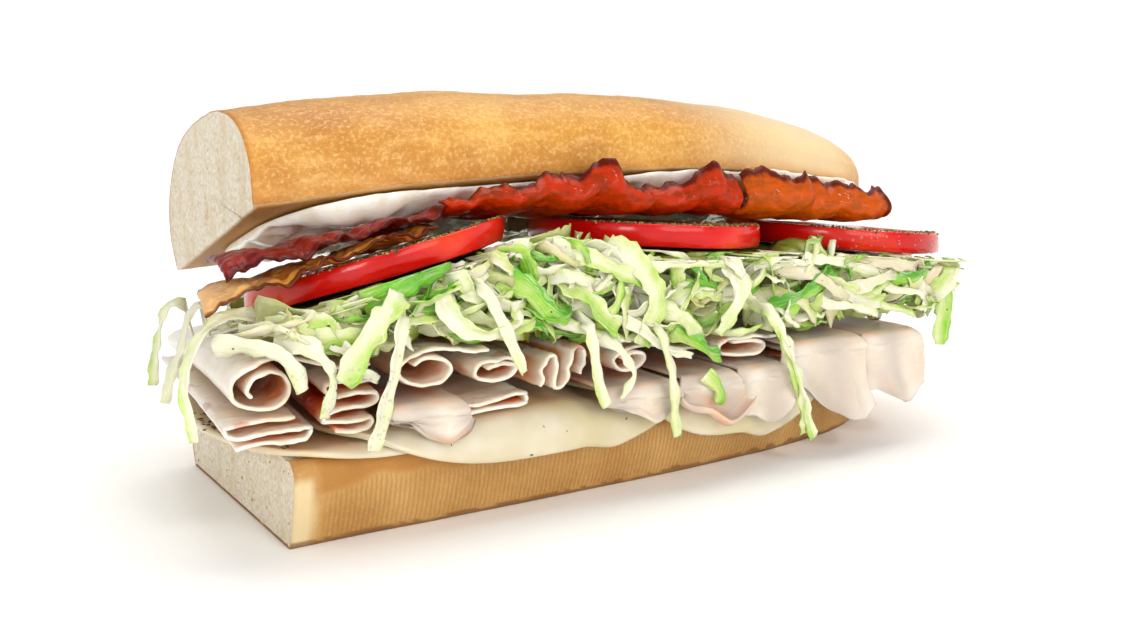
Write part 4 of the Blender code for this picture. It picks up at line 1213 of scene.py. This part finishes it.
# Each strip has x of its ends, the front edge's line as (x, z), and the y of the front edge, then the point
# that the strip bends towards and its inner edge, as (y, z) at the left and at the right end
BACONS = (
    (
        -121.0, -64.0,
        ((-121, 58.5), (-113, 60.8), (-104, 63.4), (-95, 66), (-85, 68.8), (-75, 71.2), (-64, 73.6)),
        -39.0, ((-31, 60.5), (-30, 71.5)), ((-20, 59.5), (-23, 68.2)),
    ),
    (
        -116.0, -59.5, ((-116, 65.5), (-108, 67.4), (-98, 69.2), (-86, 71.8), (-73, 74.2), (-59, 77)),
        -37.0, ((-28, 69), (-28, 75.5)), ((-10, 65), (-17, 69.2)),
    ),
    (
        -58.0, 34.0,
        (
            (-58, 78), (-36, 81), (-16, 83), (-10, 86), (-5, 83), (-1, 78), (8, 76.5), (17, 80), (24, 83),
            (33, 79),
        ),
        -32.0, ((-41, 79), (-45, 66.5)), ((-14, 71.5), (-12, 69.5)),
    ),
    (
        36.5, 91.0,
        ((34, 78.5), (42, 80.5), (50, 80), (54, 77), (62, 78), (67, 76), (75, 74), (88, 73), (92, 72)),
        -33.0, ((-45, 65), (-46, 60)), ((-13, 68), (-14, 64)),
    ),
)


def softened(stops, x, reach=2.2):
    """The line through the stops with its corners rounded over reach millimetres to both sides."""
    return sum(along(stops, x + step * reach) for step in (-1.0, -0.5, 0.0, 0.5, 1.0)) / 5.0


def bacon_point(strip, u, v):
    """A point of a strip, u along it and v from its charred front edge to its inner edge."""
    start_x, end_x, edge, edge_y, bends, inners = strip
    x = mix(start_x, end_x, u)
    bend_y, bend_z = (mix(a, b, u) for a, b in zip(*bends))
    inner_y, inner_z = (mix(a, b, u) for a, b in zip(*inners))
    edge_w, bend_w, inner_w = (1.0 - v) ** 2, 2.0 * v * (1.0 - v), v * v
    ruffle = mix(0.9, 0.4, v) * math.sin(x * 0.37 + 2.2 * v + start_x)
    y = edge_w * (edge_y + 1.5 * math.sin(x * 0.21)) + bend_w * bend_y + inner_w * inner_y
    z = edge_w * softened(edge, x) + bend_w * bend_z + inner_w * inner_z
    ragged = 2.0 * (v - 0.5) * math.sin(2.3 * start_x) * (2.0 * u - 1.0)
    return drawn_in(x, y) + ragged, y, z + ruffle


def bacon(number, material):
    strip = BACONS[number]
    length = strip[1] - strip[0]

    def place(u, v):
        x, y, z = bacon_point(strip, u, v)
        curl = (1.0 - v) ** 2
        fine = 0.7 * math.sin(x * 0.95 + number) + 0.3 * math.sin(x * 2.3 + 4 * v)
        crackle = wobble(x, y, z, 2.0, 0.3) + wobble(x, y, z, 5.0, 0.5)
        forward = 0.9 * math.sin(x * 0.75 + 2.0 * number) * curl
        return x + wobble(y, z, x, 3.0, 0.5), y + forward, z + 0.7 * fine * curl + crackle

    grid, us, vs = grid_of(int(length / 0.62), 40, place)
    thick = np.array([[BACON_THICK * (0.38 + 0.5 * smooth(3 * v) + wobble(u * length, v * 25, 1, 2.2, 0.3))
                       for u in us] for v in vs])
    across = np.broadcast_to(vs[:, None], grid.shape[:2])
    end_on = np.minimum(us, 1.0 - us)[None] * length
    crisp_end = (number != 2) * us[None] * np.exp(-((end_on / 2.5) ** 2))
    crisp = np.maximum(np.exp(-((across / 0.075) ** 2)), crisp_end)
    # The inner edge at the back, down by the tomato, takes the char colour as painted shade
    crisp = np.maximum(crisp, 0.9 * np.exp(-(((1 - across) / 0.10) ** 2)))
    pale = np.zeros_like(crisp)
    if number == 0:
        pale = np.broadcast_to(np.clip((0.30 - us[None]) / 0.12, 0, 1) * 0.9, crisp.shape)
        crisp = crisp * 0.9
    values = {"across": across + 0.37 * number, "crisp": crisp, "pale": pale * (1.0 - crisp)}
    return place_on(
        sheet(f"bacon_strip_{number + 1}", grid, thick, material, values), "bacon", f"bacon_{number + 1}",
    )


# Lettuce


# Lettuce that hangs out of the heap, as places along each shred, its width, its turn in degrees and how green
HANGING = (
    (((-70, -36, 56), (-75, -47, 60), (-80, -51.5, 59), (-87, -53, 52), (-95, -53, 42)), 8.5, 12, 0.3),
    (((-74, -38, 55), (-78, -50, 56), (-82, -53.5, 43), (-88, -53, 25)), 6.0, -20, 0.0),
    (((-58, -36, 58), (-57, -48, 60), (-53, -52.5, 52), (-47, -53, 38)), 3.8, 25, 0.05),
    (((-28, -38, 50), (-27, -51, 47), (-26, -53, 37), (-23, -53, 26)), 4.0, 10, 0.12),
    (((-6, -38, 45), (-6, -52, 44), (-4, -56, 31), (-2, -56, 16)), 4.0, -15, 0.2),
    (((28, -38, 46), (31, -52, 44), (37, -56.3, 27), (45, -55.5, 8)), 3.6, 20, 0.3),
    (((33, -40, 42), (34, -54, 38), (39, -56.5, 22), (41, -55.5, 10)), 3.6, -25, 0.3),
    (((-100, -24, 49), (-113, -15, 56), (-119, -15, 45), (-123, -15, 33)), 3.6, 80, 0.05),
    (((-100, -36, 53), (-115, -34, 56), (-125, -36, 45), (-124.5, -38, 29)), 3.4, 60, 0.12),
    (((-98, 6, 46), (-112, 8, 52), (-117, 8, 42), (-118, 8, 32)), 4.0, 85, 0.2),
    (((86, -34, 48), (98, -46, 47), (105, -45, 41), (103, -46, 26)), 8.0, 15, 0.45),
    (((84, -30, 51), (92, -42, 51), (101, -44, 49), (110, -42, 42)), 5.0, -30, 0.2),
    (((90, -10, 46), (108, -22, 47), (119, -26, 43), (121, -30, 30)), 7.0, 50, 0.45),
)

# Shreds that show best on the front of the heap, in the same words
SHOWN = (
    (((-16, -47, 59), (-4, -50.5, 60.5), (8, -50.5, 60), (22, -47, 58)), 4.4, 5, 0.1),
    (((30, -46, 57), (44, -50, 57.5), (58, -49, 55.5), (74, -46, 53)), 3.8, -8, 0.05),
    (((-86, -46, 58), (-79, -50, 61), (-72, -50, 64), (-64, -47, 66)), 10.0, 10, 0.95),
    (((-50, -47, 61), (-44, -50.5, 58), (-38, -51, 52), (-31, -49, 49)), 6.5, 20, 0.8),
    (((2, -47, 42), (8, -50, 39), (13, -50, 35), (17, -49, 34)), 5.5, -30, 0.85),
    (((34, -47, 43), (42, -50, 46), (50, -50, 50), (58, -47, 54)), 8.0, 15, 0.95),
    (((-18, -46, 66), (-11, -50, 60), (-6, -51, 51), (-10, -49.5, 40)), 7.5, 10, 0.35),
    (((20, -47, 58), (22, -51, 52), (18, -51.5, 45), (15, -50, 40)), 4.6, 25, 0.2),
    (((-34, -45, 66), (-26, -48, 64), (-18, -50, 60), (-8, -49, 56)), 5.4, -12, 0.35),
    (((-62, -42, 67), (-54, -46, 67.5), (-46, -47, 67.5), (-38, -44, 67)), 4.6, 20, 0.3),
    (((-67, -47, 59), (-64, -51, 52), (-57, -51.5, 48), (-48, -50.5, 50), (-47, -49, 55)), 4.8, 30, 0.2),
    (((-32, -46, 60), (-27, -50, 55), (-22, -51, 49), (-17, -50, 45)), 7.0, -20, 0.45),
    (((52, -46, 50), (60, -50, 47), (68, -50, 44), (77, -48, 42)), 6.0, 20, 0.25),
    (((62, -44, 56), (70, -48, 52), (80, -48, 50), (88, -44, 49)), 5.5, -25, 0.2),
    (((-104, -36, 52), (-96, -44, 54), (-86, -46, 54), (-78, -44, 52)), 5.5, 30, 0.5),
    (((78, -40, 52), (86, -46, 47), (94, -46, 43), (102, -41, 44)), 4.2, 35, 0.75),
    (((8, -54.4, 31), (11, -54.6, 28), (13, -54.4, 24.5), (12, -54.4, 22.5)), 4.0, 25, 0.6),
    (((-100, -47, 50), (-96, -50, 52), (-90, -50.5, 51), (-84, -49, 48)), 6.0, 15, 0.55),
    (((-119, -38, 50), (-113, -46, 51), (-107, -51, 48), (-104, -52.5, 41)), 5.0, 25, 0.05),
    (((-117, -44, 47), (-112, -51.5, 46), (-104, -52.5, 43), (-97, -52, 36)), 3.2, 15, 0.0),
    (((-108, -46, 52), (-101, -51.5, 50), (-97, -52.5, 43), (-99, -52, 34)), 4.4, -20, 0.1),
    (((-98, -46, 53), (-93, -50.5, 49), (-90, -52, 44), (-85, -51.5, 41)), 3.6, 30, 0.02),
    (((-122, -30, 44), (-119, -42, 45), (-115, -50, 42), (-113, -52, 35)), 3.4, -25, 0.08),
    (((-14, -48, 47), (-8, -52, 42), (-3, -53.5, 38), (4, -53, 36)), 2.6, 25, 0.0),
    (((-22, -48, 44), (-17, -52.5, 39), (-15, -54, 33), (-19, -54, 28)), 3.0, -20, 0.02),
    (((48, -47, 46), (54, -52, 44), (61, -54, 43), (70, -53, 40)), 3.0, 20, 0.05),
    (((74, -45, 48), (81, -50, 45), (88, -51, 44), (95, -48, 40)), 2.8, -20, 0.05),
    (((66, -45, 55), (76, -49.5, 54), (88, -48.5, 51), (99, -42, 50)), 5.5, 10, 0.05, 0.0, 0.5),
    (((38, -46, 56), (48, -50, 53), (56, -51, 48), (62, -50, 44)), 5.0, -15, 0.1, 0.0, 0.4),
    (((84, -43, 46), (92, -48, 44), (99, -46, 43), (106, -40, 45)), 4.5, 25, 0.1, 0.0, 0.45),
    (((58, -47, 46), (66, -51.5, 48), (75, -51, 50), (83, -47, 49)), 4.0, -25, 0.0, 0.0, 0.3),
    (((100, -34, 50), (107, -38, 49), (113, -36, 44), (114, -36, 38)), 4.0, 30, 0.3, 0.0, 0.1),
)


# How far apart the veins of a leaf are drawn, and how long, in millimetres
VEIN_GAP = 0.8
VEIN_LENGTH = 8.0
# How thick a leaf is, and how much thicker its pale rib
LEAF_THICK = 0.34
RIB_THICK = 0.4


def leaf(places, width, turn, green, seed, deep=0.0, faded=0.0):
    """Points, faces and values of a strip of leaf: tapered, curled, crinkled along its edges."""
    draw = random.Random(seed)
    length = sum((Vector(b) - Vector(a)).length for a, b in zip(places, places[1:]))
    columns = max(int(length / 1.3), 8)
    rows = 4 if width < 4.8 else 6
    crinkle = draw.uniform(0.2, 0.7)
    cup = draw.uniform(-0.4, 0.4)
    phase = draw.uniform(0, 6.28)
    rib_at = draw.uniform(-0.8, 0.8)
    darker_side = draw.choice((-1, 1))
    room = -0.5 - draw.uniform(0.0, 3.5)

    def place(u, v):
        here = Vector(smooth_path(places, u))
        before, after = (Vector(smooth_path(places, min(max(u + step, 0.0), 1.0))) for step in (-0.02, 0.02))
        ahead = (after - before).normalized()
        across = ahead.cross(Vector((0, 1, 0))) if abs(ahead.y) < 0.9 else Vector((0, 0, 1))
        across.normalize()
        angle = math.radians(turn) * math.sin(3.0 * u)
        facing = across * math.cos(angle) + ahead.cross(across) * math.sin(angle)
        side = 2.0 * v - 1.0
        ragged = 1.0 + 0.15 * math.sin(9.0 * u) + wobble(u * length, side * 4, seed, 2.5, 0.5)
        half = 0.5 * width * (1.0 - 0.45 * u) * ragged
        point = here + facing * half * side
        out = ahead.cross(facing)
        wave = crinkle * math.sin(u * length * 0.9 + phase + 1.5 * side) * side * side
        wave += cup * half * (side * side - 0.4) + wobble(point.x, point.y + seed, point.z, 5.0, 0.8)
        point += out * wave
        point.z = clear_of_tomatoes(point.x, point.y, point.z, room, 14.0)
        return point

    grid, us, vs = grid_of(columns, rows, place)
    flat = np.ones(grid.shape[:2])
    rib = np.exp(-((2.0 * vs[:, None] - 1.0 - rib_at) / 0.45) ** 2) * flat
    tint = green + 0.3 * (vs[:, None] - 0.5) * darker_side + 0.3 * (us[None] - 0.5)
    tint = np.clip(tint - 0.2 * rib, 0.0, 1.0)
    thick = LEAF_THICK + RIB_THICK * rib * (1.0 - green)
    values = {
        "green": tint, "deep": deep * flat, "faded": faded * flat,
        "lengthwise": flat * us[None] * length / VEIN_LENGTH + 3.7 * seed,
        "sideways": flat * vs[:, None] * width / VEIN_GAP,
    }
    return sheet_parts(grid, thick, values)


def lettuce_core_parts():
    """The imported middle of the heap, crumpled and in its own shade."""
    start_x, end_x, columns, rows = -106.0, 108.0, 150, 44
    rings = []
    for i in range(columns + 1):
        t = i / columns
        x = mix(start_x, end_x, t)
        narrow = round_end(abs(2 * t - 1) * 0.99, 8.0, 2.5)
        top, bottom = [], []
        for j in range(rows + 1):
            across = -math.cos(math.pi * j / rows)
            y = 1.0 + 40.0 * across * narrow + wobble(x, across, 0, 9, 2.5) * abs(across)
            low = turkey_top(x, y) + 0.4
            high = lettuce_top(x, y) - 1.2 + wobble(x, y, 0, 8, 1.5)
            high = max(clear_of_tomatoes(drawn_in(x, y), y, high, -1.6), low + 1.2)
            round_off = 0.22 * (high - low) * abs(across) ** 10
            crumple = 2.2 * abs(across) ** 6 * noise.noise(Vector((x, y, 0)) / 3.0)
            bottom.append((drawn_in(x, y), y + crumple, low + round_off))
            top.append((drawn_in(x, y), y + crumple, high - round_off + wobble(x, y, 5, 3.5, 0.9)))
        rings.append(top + bottom[::-1])
    # The whole core takes painted shade through deep
    even = {"green": 0.55, "deep": 0.7, "faded": 0.0, "lengthwise": 0.0, "sideways": 0.0}
    values = {key: [[value] * len(ring) for ring in rings] for key, value in even.items()}
    return loft_parts(rings, values, 2, lambda point, end, share: point)


def heap_leaf(draw, side, behind):
    """A leaf's words for a shred that bulges out of the heap's front (side -1) or back (side 1)."""
    x = draw.uniform(-104, 104)
    y_in = 37.0 if side > 0 else -38.5
    face_y = -side * FRONT_Y
    low, high = turkey_top(x, face_y) + 1.5, lettuce_top(x, face_y) - 1.0
    z = mix(low, high, draw.random())
    length = draw.uniform(12, 34)
    slope = draw.choice((0.6, 1.2, 2.6)) * draw.uniform(-1.0, 1.0)
    bow = draw.uniform(-9.0, 9.0)
    out = side * (draw.uniform(41.5, 44.5) if behind else draw.uniform(44.5, 50.5))
    places = []
    for k in range(5):
        t = k / 4
        run = length * (t - 0.5) / math.sqrt(1.0 + slope * slope)
        along_x = x + run
        level = z + slope * run + bow * 4.0 * t * (1.0 - t) - 0.5 * bow
        level = min(max(level, turkey_top(along_x, face_y) + 1.0), lettuce_top(along_x, face_y) - 0.8)
        y = mix(y_in, out, math.sin(math.pi * t) ** 0.6)
        places.append((drawn_in(along_x, y) if side > 0 else along_x, y, level))
    turn = draw.uniform(-60, 60)
    # Leaves behind the front are broad and darkened through deep as painted shade
    if behind:
        width, green = draw.uniform(7.0, 12.0), draw.choice((0.35, 0.45, 0.55))
        return places, width, turn, green, draw.uniform(0.4, 0.9), 0.0
    green = draw.choice((0.1, 0.15, 0.25, 0.3, 0.35, 0.4, 0.45, 0.5, 0.7, 0.95))
    faded = draw.uniform(0.1, 0.7) if draw.random() < 0.2 + 0.35 * smooth((x - 20.0) / 40.0) else 0.0
    return places, 1.8 + 5.5 * draw.random() ** 1.9, turn, green, 0.0, faded


def end_leaf(draw, side):
    """A shred that sticks out of the heap's left (side -1) or right (side 1) end."""
    y = draw.uniform(-36, 30)
    edge = drawn_in(side * (101.0 if side > 0 else 103.0), y)
    z = mix(turkey_top(edge, y) + 2.0, lettuce_top(edge, y) - 2.0, draw.random())
    reach = draw.uniform(2.0, 8.0)
    slide = draw.uniform(-14, 14)
    places = []
    for k in range(4):
        t = k / 3
        x = edge + side * reach * math.sin(math.pi * t)
        places.append((x, y + slide * (t - 0.5), z + draw.uniform(-2.5, 2.5)))
    return places, draw.uniform(3.0, 7.0), draw.uniform(-60, 60), draw.uniform(0.0, 0.6)


# How many shreds are tried behind the front, on it, on the back and at each end, and their seed
BEHIND, IN_FRONT, AT_BACK, AT_EACH_END = 55, 260, 70, 18
HEAP_SEED = 77


def lettuce(material, solids):
    """The heap: its core, the shreds that hang, and the many that show on its front, back and ends."""
    parts = [lettuce_core_parts()]
    trees = []
    for solid in solids:
        corners = [vert.co / MM for vert in solid.data.vertices]
        trees.append(BVHTree.FromPolygons(corners, [tuple(face.vertices) for face in solid.data.polygons]))
    draw = random.Random(HEAP_SEED)
    wanted = list(HANGING) + list(SHOWN)
    for count, side, behind in ((BEHIND, -1, True), (IN_FRONT, -1, False), (AT_BACK, 1, False)):
        wanted += [heap_leaf(draw, side, behind) for _ in range(count)]
    for side in (-1, 1):
        wanted += [end_leaf(draw, side) for _ in range(AT_EACH_END)]
    for seed, words in enumerate(wanted):
        points, faces, values = leaf(*words[:4], seed, *words[4:])
        if seed >= len(HANGING):
            own = BVHTree.FromPolygons([Vector(point) for point in points], faces)
            if any(own.overlap(tree) for tree in trees):
                continue
        parts.append((points, faces, values))
    return place_on(joined("shredded_lettuce", parts, material), "lettuce", "lettuce")


# Making it all

crust = golden_crust()
tray_side = tray_crust()
bread_top(crust)
bottom_bun = bread_bottom(tray_side)
mayonnaise(whipped_sauce())
provolone = sliced_provolone()
slices = [cheese(number, provolone) for number in range(len(CHEESES))]
flesh = cut_tomato()
tomatoes = [tomato(number, flesh) for number in range(len(TOMATOES))]
meat = sliced_turkey()
for number in range(len(TURKEYS)):
    folded_turkey(number, meat)
for number, sizes in enumerate(FLAPS, len(TURKEYS) + 1):
    flap(number, *sizes, meat)
for number, (look, *tones) in enumerate((
    ("golden fat", "#B4521C", "#86300F", "#E09A40", 1.0),
    ("maroon", "#860E14", "#46060E", "#94301C", 0.5),
    ("red", "#A40B02", "#5E0401", "#CE4C06", 0.75),
    ("amber", "#AE2E04", "#7A1803", "#DC7610", 1.0),
)):
    bacon(number, fried_bacon(f"smoked bacon, fried {look}", *tones))
solids = [node for name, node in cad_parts.items() if name != "lettuce"]
heap = lettuce(crisp_leaf(), solids)

herb = loose_bits("dried oregano and cracked pepper", "#7A6030", "#33240F")
grit = loose_bits("ground pepper and seasoning", "#B99450", "#5A4420")
golden = loose_bits("golden roll crumbs", "#DFC08A", "#B98A48")
beads = water()

for number, piece in enumerate(tomatoes, 1):
    strew(f"seasoning_{number}", piece, lambda place, normal: normal.z > 0.6 and place.y < -26,
          (0.9, 0.7, 0.6), 26, 0.2, 20 + number, grit, "tomato")
    strew(f"pepper_{number}", piece, lambda place, normal: normal.z > 0.6 and place.y < -24,
          (1.1, 0.7, 0.5), 12, 0.2, 40 + number, herb, "tomato")
strew("tomato_droplets", tomatoes[2], lambda place, normal: normal.y < -0.3 and place.x > 70,
      (0.9, 0.9, 0.5), 14, 0.1, 9, beads, "tomato")
strew("herb_flakes", slices[0], lambda place, normal: place.x < -101 and place.y < -4 and normal.z > 0.2,
      (2.4, 0.8, 0.3), 16, 0.15, 12, herb, "provolone")
strew("cheese_specks", slices[1], lambda place, normal: normal.y < -0.3 and place.z < 24,
      (1.1, 0.5, 0.25), 0.9, 0.1, 13, herb, "provolone")
strew("lettuce_specks", heap, lambda place, normal: place.y < -42,
      (0.6, 0.45, 0.3), 0.9, 0.1, 14, herb, "lettuce")
strew("lettuce_droplets", heap, lambda place, normal: place.y < -51 and place.x < -78 and place.z < 46,
      (0.8, 0.8, 0.45), 32, 0.1, 15, beads, "lettuce")
strew("roll_crumbs", bottom_bun, lambda place, normal: 1.2 < place.z < 20 and normal.x < -0.6,
      (0.9, 0.7, 0.6), 1.6, 0.1, 16, golden, "roll_tray_side")


# Stage, light and camera


def backdrop():
    """A pale lit wall all round, far behind the floor."""
    mesh = bpy.data.meshes.new("backdrop")
    turns, radius, low, high = 48, 9.0, -0.2, 2.4
    angles = [math.tau * k / turns for k in range(turns)]
    ring = [(radius * math.cos(angle), radius * math.sin(angle)) for angle in angles]
    faces = [(k, (k + 1) % turns, turns + (k + 1) % turns, turns + k) for k in range(turns)]
    mesh.from_pydata([(x, y, z) for z in (low, high) for x, y in ring], [], faces)
    material, tree, _ = new_finish("white studio wall, lit")
    add(tree, SURFACE, {"Surface": add(tree, "ShaderNodeEmission", {"Color": "#FFFFFF", "Strength": 1.05})})
    mesh.materials.append(material)
    wall = bpy.data.objects.new("backdrop", mesh)
    wall.visible_shadow = False
    bpy.context.scene.collection.objects.link(wall)


def stage():
    mesh = bpy.data.meshes.new("floor")
    half = 8.5
    corners = [(-half, -half, 0), (half, -half, 0), (half, half, 0), (-half, half, 0)]
    mesh.from_pydata(corners, [], [(0, 1, 2, 3)])
    material, tree, _ = new_finish("matt white studio floor")
    shader = add(tree, SHADER, {"Base Color": "#FCFCFB", "Roughness": 0.9, "Specular IOR Level": 0.1})
    add(tree, SURFACE, {"Surface": shader})
    mesh.materials.append(material)
    floor = bpy.data.objects.new("floor", mesh)
    bpy.context.scene.collection.objects.link(floor)


def lamp(name, kind, place, strength, colour, **shape):
    """A soft light at a place, aimed at the sandwich."""
    light = bpy.data.lights.new(name, kind)
    light.energy = strength
    light.color = paint(colour)[:3]
    for key, value in shape.items():
        setattr(light, key, value)
    holder = bpy.data.objects.new(name, light)
    holder.location = place
    holder.rotation_euler = (Vector((0, 0, 0.05)) - Vector(place)).to_track_quat("-Z", "Y").to_euler()
    bpy.context.scene.collection.objects.link(holder)


def studio():
    scene = bpy.context.scene
    world = bpy.data.worlds.new("studio")
    world.use_nodes = True
    background = world.node_tree.nodes["Background"]
    background.inputs["Color"].default_value = paint("#FFFFFF")
    background.inputs["Strength"].default_value = 0.58
    scene.world = world
    lamp("overhead", "SUN", (0.42, 0.26, 1.2), 1.75, "#FFFCF6", angle=math.radians(55))
    lamp("fill", "AREA", (0.05, -1.15, 0.36), 3.6, "#FFFBF5", shape="RECTANGLE", size=0.8, size_y=0.4)
    lamp("left_fill", "AREA", (-0.8, -0.75, 0.28), 2.6, "#FFFFFF", shape="RECTANGLE", size=0.3, size_y=0.3)
    lamp("glint", "AREA", (-0.05, -0.85, 0.62), 1.6, "#FFFFFF", shape="RECTANGLE", size=0.13, size_y=0.13)
    scene.view_settings.view_transform = "Standard"
    camera = bpy.data.cameras.new("camera")
    camera.lens = 50.0
    camera.sensor_width = 36.0
    camera.clip_start = 0.01
    eye = bpy.data.objects.new("camera", camera)
    eye.location = (-0.2401, -0.3651, 0.1245)
    eye.rotation_euler = (math.radians(90.0 - 11.2), 0.0, math.radians(-33.2))
    scene.collection.objects.link(eye)
    scene.camera = eye


stage()
backdrop()
studio()
